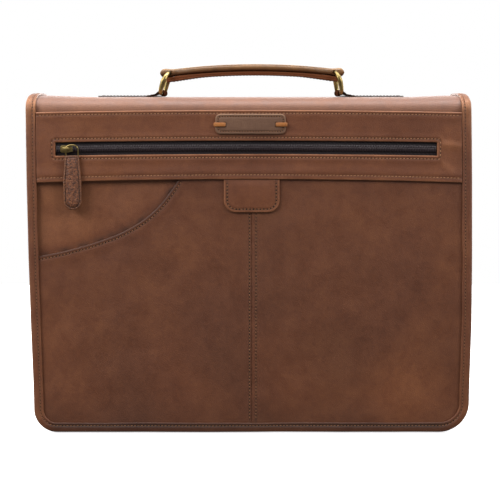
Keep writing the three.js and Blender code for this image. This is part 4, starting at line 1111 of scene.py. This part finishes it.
def build_patch():
    """Bare patch with a plain pressed border, lying on the band between its two laces."""
    middle, back = PATCH_BASE + PATCH_TALL, BAND_FACE + GAP
    face = back + 1.5
    # Each ring of the patch: how far in from its edge, and how far out
    rings = [(0, 0), (0, 0.9), (0.15, 1.25), (0.5, 1.5), (1.2, 1.52), (1.7, 1.5), (2.0, 1.3), (2.4, 1.18),
             (2.8, 1.3), (3.2, 1.5), (4.4, 1.55)]
    sections, wear_and_shade = [], []
    for inset, n in rings:
        radius = max(PATCH_ROUND - inset * 0.8, 0.9)
        outline = rounded_outline(PATCH_HALF - inset, PATCH_TALL - inset, radius)
        sections.append(wrap(outline[:, 0], middle + outline[:, 1], back + n))
        wear_and_shade += [0.5 * float(bump(inset - 0.2, 0.6)) - 0.3 * float(bump(inset - 2.4, 0.5))] * len(outline)
    patch = loft("name_patch_leather", sections, PATCH_HIDE, wear_and_shade, smooth_angle=50)
    place(patch, "patch_leather", "name_patch")
    line = rounded_outline(PATCH_HALF - PATCH_SEAM, PATCH_TALL - PATCH_SEAM, 2.6, 6)
    line = np.concatenate([line, line[:1]])
    along = reach_along(line)
    fine = np.linspace(0, along[-1], 160)
    across, up = [np.interp(fine, along, line[:, k]) for k in (0, 1)]
    row = seam(*flap_line(across, middle + up, back + 1.3), pitch=PATCH_PITCH, ends=0)
    stitching("stitching_patch", [row], THREAD_BROWN, "patch_leather", length=1.8)
    for side, name in ((-1, "left"), (1, "right")):
        # The slot is a shallow pit painted dark as shade: its outline's share and its level, ring by ring
        slot = rounded_outline(1.5, 2.6, 1.2)
        pit = [wrap(side * (PATCH_HALF - LACE_REACH) + slot[:, 0] * k, LACE_LEVEL + slot[:, 1] * k, face + n)
               for k, n in ((0.8, -0.2), (1, 0.02), (0.9, 0.1), (0.5, 0.12))]
        place(loft(f"patch_slot_{name}", pit, HOLE_SHADOW), "patch_leather")
    for side, name in ((-1, "left"), (1, "right")):
        # The thong comes out of the slot, crosses the patch's edge and turns down behind it
        path = [(-LACE_REACH - 0.5, face + 0.1), (0.1 - LACE_REACH, face + 0.6), (-6, face + 0.95),
                (-2, face + 1.0), (0.2, face + 0.9), (0.9, face + 0.4), (1.0, face - 0.6), (1.0, back + 0.2)]
        path = np.array(path)
        fine, coarse = np.linspace(0, 1, 26), np.linspace(0, 1, len(path))
        path = np.stack([np.interp(fine, coarse, path[:, k]) for k in (0, 1)], -1)
        half_thong = [(0, 0.52), (0.8, 0.5), (1.6, 0.32), (1.8, -0.3), (1.5, -0.5)]
        shape = np.array([(-u, v) for u, v in half_thong[3:0:-1]] + half_thong + [(-1.5, -0.5)])

        def lay(along, across, out, side=side):
            return wrap(side * (PATCH_HALF + along), LACE_LEVEL + across, out)

        thong = loft(f"patch_lace_{name}_thong", swept(path, shape, lay), LACING_HIDE, smooth_angle=50)
        place(thong, "lacing_leather", f"patch_lace_{name}")


# Slider, ring and pull

SLIDER_LENGTH = 11
SLIDER_LEFT = WINDOW_LEFT + 4.5
SLIDER_MIDDLE = SLIDER_LEFT + SLIDER_LENGTH / 2
SLIDER_LEVEL = float(window_middle(SLIDER_MIDDLE))
SLIDER_BACK = BAND_BACK + 1.6 + GAP
SLIDER_FACE = SLIDER_BACK + 2
PULL_WIRE = 1.4
PULL_RING_LEVEL = SLIDER_FACE + GAP + PULL_WIRE / 2
PULL_X = SLIDER_MIDDLE + 5
PULL_RING_LOW = SLIDER_LEVEL - 8
PULL_BACK = BAND_FACE + GAP
PULL_TOP = PULL_RING_LOW + PULL_WIRE / 2 + 1.6
PULL_RING_WIDTH = 11
# Half the pull's width at its neck and below it, and the seam's distance from its edge
PULL_NECK = 6.3
PULL_HALF = 8.0
PULL_LENGTH = 49
PULL_TAPER = 22
PULL_SEAM = 1.9
PULL_END = PULL_TOP - PULL_LENGTH + PULL_HALF


def build_slider():
    """Cast slider: a waisted plate with rounded edges and the bridge that holds the ring."""
    plate = [(0, -1.8), (0.06, -2.7), (0.15, -3.2), (0.3, -3.3), (0.6, -3.2), (0.85, -2.6), (1, -2.2)]
    plate = np.array(plate + [(u, -v) for u, v in plate[::-1]]) * [SLIDER_LENGTH, 1]
    middle = plate.mean(0)[0]
    layers = [(0.92, 0), (1, 0.3), (1, 1.5), (0.95, 1.85), (0.84, 2.0)]
    sections = [wrap(SLIDER_LEFT + middle + (plate[:, 0] - middle) * k, SLIDER_LEVEL + plate[:, 1] * k,
                     SLIDER_BACK + n) for k, n in layers]
    body = loft("zip_slider_body", sections, ANTIQUE_BRASS, smooth_angle=35)
    # The bridge arches over the ring's left leg
    centre, reach = PULL_X - PULL_RING_WIDTH / 2, 3.5
    foot, top = SLIDER_FACE - 0.6, PULL_RING_LEVEL + PULL_WIRE / 2 + GAP + 0.5
    spring = foot + 0.8
    arch = [(centre - reach, foot)]
    arch += [(centre - reach * math.cos(a), spring + (top - spring) * math.sin(a) ** 0.5)
             for a in np.radians(np.linspace(0, 180, 17))]
    arch += [(centre + reach, foot)]
    shape = np.array([(-1.3, -0.2), (-1.1, -0.5), (1.1, -0.5), (1.3, -0.2), (1.3, 0.2), (1.0, 0.5),
                      (-1.0, 0.5), (-1.3, 0.2)])
    sections = swept(arch, shape, lambda along, across, out: wrap(along, SLIDER_LEVEL + across, out))
    bridge = loft("zip_slider_bridge", sections, ANTIQUE_BRASS)
    place(body, "antique_brass", "zip_slider")
    place(bridge, "antique_brass")


def wire_loop(name, width, height, foot, head, wire, position, sides, steps, flat=0.0):
    """Bent brass wire, a rounded rectangle with radii for its foot and head; flat broadens its legs."""
    corners = ((width / 2 - foot, foot, foot, -90), (width / 2 - head, height - head, head, 0),
               (head - width / 2, height - head, head, 90), (foot - width / 2, foot, foot, 180))
    turn = around(sides)
    sections = []
    for across, up, radius, first in corners:
        for angle in np.radians(np.linspace(first, first + 90, steps)):
            out = np.array([math.cos(angle), math.sin(angle)])
            level = math.sin(math.pi * min(max((up + out[1] * radius) / height, 0), 1))
            reach = radius + wire / 2 * (1 - 0.4 * flat * level) * np.cos(turn)
            side = wire / 2 * (1 + flat * level) * np.sin(turn)
            sections.append(position(across + out[0] * reach, up + out[1] * reach, side))
    return loft(name, sections, ANTIQUE_BRASS, closed=True, smooth_angle=60)


def pull_outline(inset):
    """The pull's outline: a neck that widens to parallel sides and a round end, drawn inset mm in."""
    neck, half = PULL_NECK - inset, PULL_HALF - inset
    soft = min(1.0, neck * 0.4)
    shoulder, straight = PULL_TOP - 1 - inset, PULL_TOP - PULL_TAPER
    left = [(-neck + soft, PULL_TOP - inset), (-neck, shoulder)]
    left += [(-neck - (half - neck) * t, shoulder + (straight - shoulder) * t) for t in (0.25, 0.5, 0.75, 1)]
    left += [(-half, z) for z in np.linspace(straight, PULL_END, 5)[1:]]
    turn = np.radians(np.linspace(180, 360, 21))[1:-1]
    tip = [(half * math.cos(a), PULL_END + half * math.sin(a)) for a in turn]
    right = [(-u, v) for u, v in left[::-1]]
    return np.array(right[-1:] + left + tip + right[:-1])


def pull_bend(level):
    """The pull bows out a little between its ends."""
    return 0.4 * np.sin((PULL_TOP - level) / (PULL_LENGTH - 1) * math.pi)


def build_pull():
    """Ring and leather pull that hang from the slider."""
    middle = PULL_BACK + 1.7
    lean = (PULL_RING_LEVEL - middle) / 8

    def on_flap(across, up, side):
        return wrap(PULL_X + across, PULL_RING_LOW + up, middle + lean * up + side)

    ring = wire_loop("zip_pull_wire", width=PULL_RING_WIDTH, height=11.5, foot=2, head=4.5, wire=PULL_WIRE,
                     position=on_flap, sides=12, steps=10)
    place(ring, "antique_brass", "zip_pull_ring")
    # Two plies with a stitched border round a padded middle: distance in from the edge, and out
    layers = [(0.9, 0), (0.35, 0.25), (0, 0.8), (0.12, 1.5), (0.12, 1.9), (0, 2.6), (0.3, 3.1),
              (0.8, 3.38), (1.3, 3.4), (1.6, 3.15), (1.85, 3.0), (2.1, 3.15), (2.5, 3.6), (3.2, 3.95),
              (4.2, 4.2), (5.4, 4.35)]
    sections, wear_and_shade = [], []
    for inset, n in layers:
        outline = pull_outline(inset)
        out = PULL_BACK + n + pull_bend(outline[:, 1])
        sections.append(wrap(PULL_X + outline[:, 0], outline[:, 1], out))
        rub = 0.5 * float(bump(inset - 0.5, 0.5)) * (n > 2.4) - 0.3 * float(bump(inset - 2, 0.5))
        wear_and_shade += [rub] * len(outline)
    pull = loft("zip_pull_leather", sections, PULL_HIDE, wear_and_shade, smooth_angle=50)
    place(pull, "pull_up_leather", "zip_pull")
    neck, half = PULL_NECK - PULL_SEAM, PULL_HALF - PULL_SEAM
    left = [(-neck - 0.7, PULL_TOP - 9), (-neck - 1.0, PULL_TOP - 15)]
    left += [(-half, z) for z in np.linspace(PULL_TOP - PULL_TAPER, PULL_END, 4)]
    turn = np.radians(np.linspace(180, 360, 19))[1:-1]
    tip = [(half * math.cos(a), PULL_END + half * math.sin(a)) for a in turn]
    rim = np.array(left + tip + [(-u, v) for u, v in left[::-1]])
    across = np.stack([np.linspace(-4.7, 4.7, 6), np.full(6, PULL_TOP - 8)], -1)

    def row(line, n, ends):
        lying = flap_line(PULL_X + line[:, 0], line[:, 1], PULL_BACK + n + pull_bend(line[:, 1]))
        return seam(*lying, pitch=2.6, ends=ends)

    stitching("stitching_pull", [row(rim, 3.05, 1.2), row(across, 3.45, 0)], THREAD_DARK, length=1.9)


# Handle

RING_WIRE = 3.6
RING_DEPTH = 32
RING_SPAN = 164
RING_TALL = 19.8
RING_LEANS = {-1: 7, 1: 4.6}
RING_YAW = math.radians(4.5)
RING_BULGE = 1.3
ANCHOR_LENGTH = 58
ANCHOR_HALF = 12.5
ANCHOR_LEATHER = 1
ANCHOR_SEAM = 2.8
ANCHOR_LOOP = RING_WIRE / 2 + GAP + ANCHOR_LEATHER / 2
FOOT_HEIGHT = CROWN_HEIGHT - CROWN_SAG + GAP + ANCHOR_LOOP + ANCHOR_LEATHER / 2


def ring_head(sign):
    """Middle of a ring's head, which leans in towards the middle of the case."""
    lean = RING_LEANS[sign]
    return np.array([sign * (RING_SPAN / 2 - lean), FOOT_HEIGHT + math.sqrt(RING_TALL ** 2 - lean ** 2)])


LEFT_HEAD, RIGHT_HEAD = ring_head(-1), ring_head(1)
HANDLE_CENTRE = (LEFT_HEAD + RIGHT_HEAD) / 2
HEAD_REACH = float(np.linalg.norm(RIGHT_HEAD - LEFT_HEAD)) / 2
HANDLE_RUN = (RIGHT_HEAD - LEFT_HEAD) / 2 / HEAD_REACH
# The grip: its widths, half its thickness, its arch, and the fold round each ring's head
GRIP_WIDTH = 26
GRIP_END_WIDTH = 16
GRIP_HALF = 3.25
GRIP_ARCH = 4.5
GRIP_SEAM = 2.6
GRIP_END_FOLD = 4.6
GRIP_SHOULDER = HEAD_REACH - 5
GRIP_LOOP = RING_WIRE / 2 + GAP + 2
UNDERLAY_HALF = 1.6
UNDERLAY_WIDTH = 24
UNDERLAY_SEAM = 2.8
UNDERLAY_REACH = HEAD_REACH + 3
UNDERLAY_DROOP = 1.5


def on_handle(x, y, z):
    """Places something drawn about the middle of the line between the two rings' heads."""
    x, y, z = np.broadcast_arrays(np.asarray(x, float), np.asarray(y, float), np.asarray(z, float))
    return np.stack([HANDLE_CENTRE[0] + x * HANDLE_RUN[0] - z * HANDLE_RUN[1], y,
                     HANDLE_CENTRE[1] + x * HANDLE_RUN[1] + z * HANDLE_RUN[0]], -1)


def grip_middle(x):
    """Level of the grip's middle, arched between the rings."""
    return GRIP_ARCH * (1 - (np.asarray(x) / HEAD_REACH) ** 2)


def grip_half_width(x, width):
    """Half the width of the grip or its underlay, narrowed to fit inside the rings."""
    narrowed = smooth(np.abs(x), GRIP_SHOULDER - 16, GRIP_SHOULDER)
    return (width + (GRIP_END_WIDTH - width) * narrowed) / 2


def cut_bore(piece, x, bore):
    """Opens the round hole that a ring's head passes through; bore is its radius."""
    turn = around(20)
    sections = [on_handle(x + bore * np.cos(turn), y, bore * np.sin(turn)) for y in (-20, 20)]
    cutter = loft("bore", sections, HANDLE_HIDE)
    modifier = piece.modifiers.new("bore", "BOOLEAN")
    modifier.operation, modifier.object, modifier.solver = "DIFFERENCE", cutter, "EXACT"
    bpy.context.view_layer.objects.active = piece
    bpy.ops.object.modifier_apply(modifier=modifier.name)
    bpy.data.objects.remove(cutter)


def build_grip():
    """Padded grip: full in the middle, flat towards the rings, its ends folded round their heads."""
    end_centre = HEAD_REACH + GRIP_END_FOLD
    rows = [(end_centre + GRIP_LOOP * math.cos(a), GRIP_LOOP * math.sin(a))
            for a in np.radians(np.linspace(8, 84, 9))]
    rows += [(GRIP_SHOULDER + 9 * t, GRIP_HALF + (GRIP_LOOP - GRIP_HALF) * float(smooth(t, 0, 1)))
             for t in (0.95, 0.75, 0.5, 0.25)]
    rows += [(x, GRIP_HALF) for x in np.linspace(GRIP_SHOULDER, 0, 34)]
    rows = [(-x, thick) for x, thick in rows] + rows[:-1][::-1]
    side, up = np.cos(around(36)), np.sin(around(36))
    sections, wear_and_shade = [], []
    for x, thick in rows:
        held = float(np.clip(x, -HEAD_REACH, HEAD_REACH))
        half = float(grip_half_width(x, GRIP_WIDTH))
        across = half * np.sign(side) * np.abs(side) ** 0.5
        rise = thick * np.sign(up) * np.abs(up) ** 0.7
        groove = 0.35 * bump(half - np.abs(across) - GRIP_SEAM, 0.7) * (up > 0) * (thick < 3.5)
        plump = 0.25 * (1 - smooth(abs(x), 30, 76)) * (up > 0) * np.clip(1 - (across / half) ** 2, 0, 1)
        sections.append(on_handle(x, across, float(grip_middle(held)) + (rise - groove + plump)))
        # Paler on top, part rubbed by the hand and part painted highlight; the underside is painted shade
        rubbed = 0.42 * (up > 0.55) * (0.6 + 0.5 * float(ripple(x, 0, 81, 50)))
        wear_and_shade.append(rubbed + 0.1 * (up > 0) - 0.3 * (up < -0.2))
    grip = loft("handle_grip_leather", sections, HANDLE_HIDE, np.concatenate(wear_and_shade), smooth_angle=55)
    for sign in (-1, 1):
        cut_bore(grip, sign * HEAD_REACH, RING_WIRE / 2 + 0.08)
    place(grip, "handle_leather", "handle_grip")
    line = np.linspace(-GRIP_SHOULDER + 3, GRIP_SHOULDER - 3, 120)
    reach, level = grip_half_width(line, GRIP_WIDTH) - GRIP_SEAM, grip_middle(line) + GRIP_HALF * 0.86 - 0.3
    rows = [seam(on_handle(line, sign * reach, level), [0, 0, 1]) for sign in (-1, 1)]
    stitching("stitching_handle", rows, THREAD_DARK, "handle_leather")


def underlay_base(x):
    """The strap under the grip droops a little towards the rings."""
    droop = UNDERLAY_DROOP * smooth(np.abs(x), UNDERLAY_REACH / 2, UNDERLAY_REACH)
    return grip_middle(x) - GRIP_HALF - GAP - 2 * UNDERLAY_HALF - droop


def underlay_top(x):
    """Its upper face stays against the grip, and under the fold round the ring's head."""
    fold = (GRIP_LOOP - GRIP_HALF) * smooth(np.abs(x), GRIP_SHOULDER - 1, GRIP_SHOULDER + 7)
    return grip_middle(x) - GRIP_HALF - 0.1 - fold


def build_underlay():
    """Strap stitched under the grip, its cut edges burnished."""
    side = [(0.94, -1), (1, -0.75), (1, -0.3), (0.96, -0.12), (0.985, 0.06), (0.985, 0.6), (0.92, 1)]
    shape = np.array(side + [(-u, v) for u, v in side[::-1]])
    reach = UNDERLAY_REACH
    straight = np.linspace(3 - reach, reach - 3, 50)
    stations = np.concatenate([[-reach, 0.6 - reach], straight, [reach - 0.6, reach]])
    sections = []
    for x in stations:
        full = 0.75 + 0.25 * min((reach - abs(x)) / 3, 1)
        half = float(grip_half_width(x, UNDERLAY_WIDTH)) * full
        low, high = float(underlay_base(x)), float(underlay_top(x))
        sections.append(on_handle(x, half * shape[:, 0], low + (high - low) * (shape[:, 1] + 1) / 2))
    edge = [0] * (len(side) - 1)
    strap = loft("handle_underlay_leather", sections, [BROWN_EDGE, HANDLE_HIDE], smooth_angle=50,
                 finish_around=edge + [1] + edge + [1])
    place(strap, "handle_leather", "handle_underlay")
    line = np.linspace(-reach + 4, reach - 4, 100)
    across = grip_half_width(line, UNDERLAY_WIDTH) - UNDERLAY_SEAM
    rows = [seam(on_handle(line, sign * across, underlay_base(line) + 0.05), [0, 0, -1]) for sign in (-1, 1)]
    stitching("stitching_handle_underside", rows, THREAD_DARK, "handle_leather")


def about_foot(sign):
    """Places something drawn about a ring's foot, +X towards the middle of the case."""
    turn = -RING_YAW if sign < 0 else math.pi + RING_YAW

    def position(x, y, z):
        x, y, z = np.broadcast_arrays(np.asarray(x, float), np.asarray(y, float), np.asarray(z, float))
        return np.stack([sign * RING_SPAN / 2 + x * math.cos(turn) - y * math.sin(turn),
                         x * math.sin(turn) + y * math.cos(turn), FOOT_HEIGHT + z], -1)

    return position


def build_ring(side, sign):
    """Bent brass wire that leans in to the grip, its legs bowed outwards."""
    lean = math.asin(RING_LEANS[sign] / RING_TALL)
    position = about_foot(sign)

    def bent(across, up, out):
        out = out - RING_BULGE * np.sin(math.pi * np.clip(up / RING_TALL, 0, 1))
        inwards = up * math.sin(lean) + out * math.cos(lean)
        level = up * math.cos(lean) - out * math.sin(lean)
        return position(inwards, across, level)

    ring = wire_loop(f"handle_ring_{side}_brass", width=RING_DEPTH, height=RING_TALL, foot=4, head=9,
                     wire=RING_WIRE, position=bent, sides=24, steps=16, flat=0.3)
    place(ring, "antique_brass", f"handle_ring_{side}")


def build_anchor(side, sign):
    """Strap folded round the ring's foot, its two plies skived thin towards their sewn end."""
    ply = ANCHOR_LEATHER / 2
    floor = -ANCHOR_LOOP - ply

    def lying(x):
        return floor - 0.28 * smooth(-np.asarray(x, float), 4, 12)

    def share(x):
        return 1 - 0.5 * smooth(-np.asarray(x, float), 4, 16)

    def upper(x):
        return lying(x) + (3 * ply + 0.25) * share(x)

    run = np.linspace(-ANCHOR_LENGTH, -8, 22)
    path = [(x, lying(x) + ply * share(x), share(x)) for x in run] + [(-4, -ANCHOR_LOOP, 1)]
    path += [(ANCHOR_LOOP * math.cos(a), ANCHOR_LOOP * math.sin(a), 1)
             for a in np.radians(np.linspace(-90, 150, 22))]
    path += [(-5, upper(-5) + 0.35, 1), (-8, upper(-8) + 0.05, 1)]
    path += [(x, upper(x), share(x)) for x in run[::-1][1:]]
    path = np.array(path, float)
    # Half the strap's section, from the groove for the thread to the flesh side: inset and out
    half = [(3.3, ply - 0.02), (2.8, ply - 0.22), (2.3, ply - 0.02), (0.3, ply), (0, ply * 0.5),
            (0, -ply * 0.5), (0.3, -ply)]
    left = [(inset - ANCHOR_HALF, out) for inset, out in half]
    right = [(ANCHOR_HALF - inset, out) for inset, out in half[::-1]]
    shape = np.array(left[-1:] + right + left[:-1])
    position = about_foot(sign)
    sections = swept(path[:, :2], shape, position, -path[:, 2])
    flesh, edge, face = [2], [1] * 3, [0] * 7
    strap = loft(f"handle_anchor_{side}_leather", sections, [ANCHOR_HIDE, EDGE_PAINT, FLESH],
                 smooth_angle=50, finish_around=flesh + edge + face + edge)
    place(strap, "handle_leather", f"handle_anchor_{side}")
    inner, outer, wide = -7, 3 - ANCHOR_LENGTH, ANCHOR_HALF - ANCHOR_SEAM
    corners = [(inner, -wide), (outer, -wide), (outer, wide), (inner, wide), (inner, -wide)]
    rows = []
    for start, end in zip(corners, corners[1:]):
        x, y = np.linspace(start, end, 20).T
        rows.append(seam(position(x, y, upper(x) + ply * share(x) - 0.05), [0, 0, 1], ends=0.5))
    stitching(f"stitching_anchor_{side}", rows, THREAD_DARK, "handle_leather")


# Studio

def soft_light(name, where, towards, size, watts):
    """A rectangular softbox that points at a place on the case."""
    data = bpy.data.lights.new(name, "AREA")
    data.shape = "RECTANGLE"
    data.size, data.size_y = size
    data.energy = watts
    lamp = bpy.data.objects.new(name, data)
    lamp.location = where
    lamp.rotation_euler = (Vector(towards) - Vector(where)).to_track_quat("-Z", "Y").to_euler()
    bpy.context.scene.collection.objects.link(lamp)


def build_room():
    """A white room, dim in front of the case and bright above and behind it, with a white backdrop."""
    world = bpy.data.worlds.new("white studio")
    world.use_nodes = True
    tree = world.node_tree
    out = tree.nodes["World Output"]
    tree.nodes.remove(tree.nodes["Background"])
    direction = add(tree, "TexCoord").outputs["Generated"]
    axes = add(tree, "SeparateXYZ", {0: direction}).outputs
    behind = spread_out(tree, axes["Y"], 0.1, 0.8, 0.0, 7.0)
    low_band = spread_out(tree, axes["Z"], 0.12, 0.45, 1.0, 0.0)
    not_under = spread_out(tree, axes["Z"], -0.08, 0.02)
    behind = add(tree, "Math", {0: behind, 1: low_band}, operation="MULTIPLY").outputs[0]
    behind = add(tree, "Math", {0: behind, 1: not_under}, operation="MULTIPLY").outputs[0]
    above = spread_out(tree, axes["Z"], 0.25, 1.0, 0.16, 1.0)
    strength = add(tree, "Math", {0: behind, 1: above}, operation="ADD").outputs[0]
    room = add(tree, "Background", {"Color": (1, 1, 1, 1), "Strength": strength}).outputs[0]
    backdrop = add(tree, "Background", {"Color": (1, 1, 1, 1), "Strength": 1.0}).outputs[0]
    seen = add(tree, "LightPath").outputs["Is Camera Ray"]
    mixed = add(tree, "MixShader", {0: seen, 1: room, 2: backdrop})
    tree.links.new(mixed.outputs[0], out.inputs["Surface"])
    bpy.context.scene.world = world


def build_studio():
    """White paper under the case and three softboxes; places here are in metres."""
    build_room()
    floor = bpy.data.meshes.new("white floor")
    floor.from_pydata([(-1, -0.45, 0), (1, -0.45, 0), (1, 1, 0), (-1, 1, 0)], [], [(0, 1, 2, 3)])
    paper, _, surface = new_material("white paper", Base_Color=srgb("#f7f7f7"), Roughness=0.8)
    surface.inputs["Emission Color"].default_value = (1, 1, 1, 1)
    surface.inputs["Emission Strength"].default_value = 0.75
    floor.materials.append(paper)
    sheet = bpy.data.objects.new("white floor", floor)
    bpy.context.scene.collection.objects.link(sheet)
    # The paper shows white under the case, and throws no light up at it
    sheet.visible_diffuse = sheet.visible_glossy = False
    # Name, place, what it points at, width and height, and watts
    softboxes = (("overhead softbox", (0, 0.1, 1.5), (0, 0, 0.3), (1.6, 0.9), 25),
                 ("left softbox", (-1.35, -0.95, 1.25), (0, 0, 0.15), (0.9, 0.9), 26.5),
                 ("right softbox", (1.45, -0.95, 1.15), (0, 0, 0.15), (0.9, 0.9), 18))
    for softbox in softboxes:
        soft_light(*softbox)


# The camera that took the photo, found by matching the case's outline: place in metres, lens in mm
CAMERA_PLACE = (-0.0003, -1.3413, 0.308)
CAMERA_TILT = math.radians(6.103)
CAMERA_LENS = 103.75
CAMERA_SENSOR = 36


def build_camera():
    """Long lens at the height of the crown, turned slightly down."""
    data = bpy.data.cameras.new("camera")
    data.sensor_width, data.lens = CAMERA_SENSOR, CAMERA_LENS
    camera = bpy.data.objects.new("camera", data)
    camera.location = CAMERA_PLACE
    camera.rotation_euler = (math.pi / 2 - CAMERA_TILT, 0, 0)
    bpy.context.scene.collection.objects.link(camera)
    bpy.context.scene.camera = camera
    bpy.context.scene.view_settings.view_transform = "Standard"


build_cover()
build_flap_binding()
build_back_binding()
build_front_wall()
build_wall_binding()
build_gusset()
build_pockets()
build_band()
build_tapes()
build_coil()
build_tab()
build_patch()
build_slider()
build_pull()
build_grip()
build_underlay()
for case_side, case_sign in (("left", -1), ("right", 1)):
    build_ring(case_side, case_sign)
    build_anchor(case_side, case_sign)
build_studio()
build_camera()
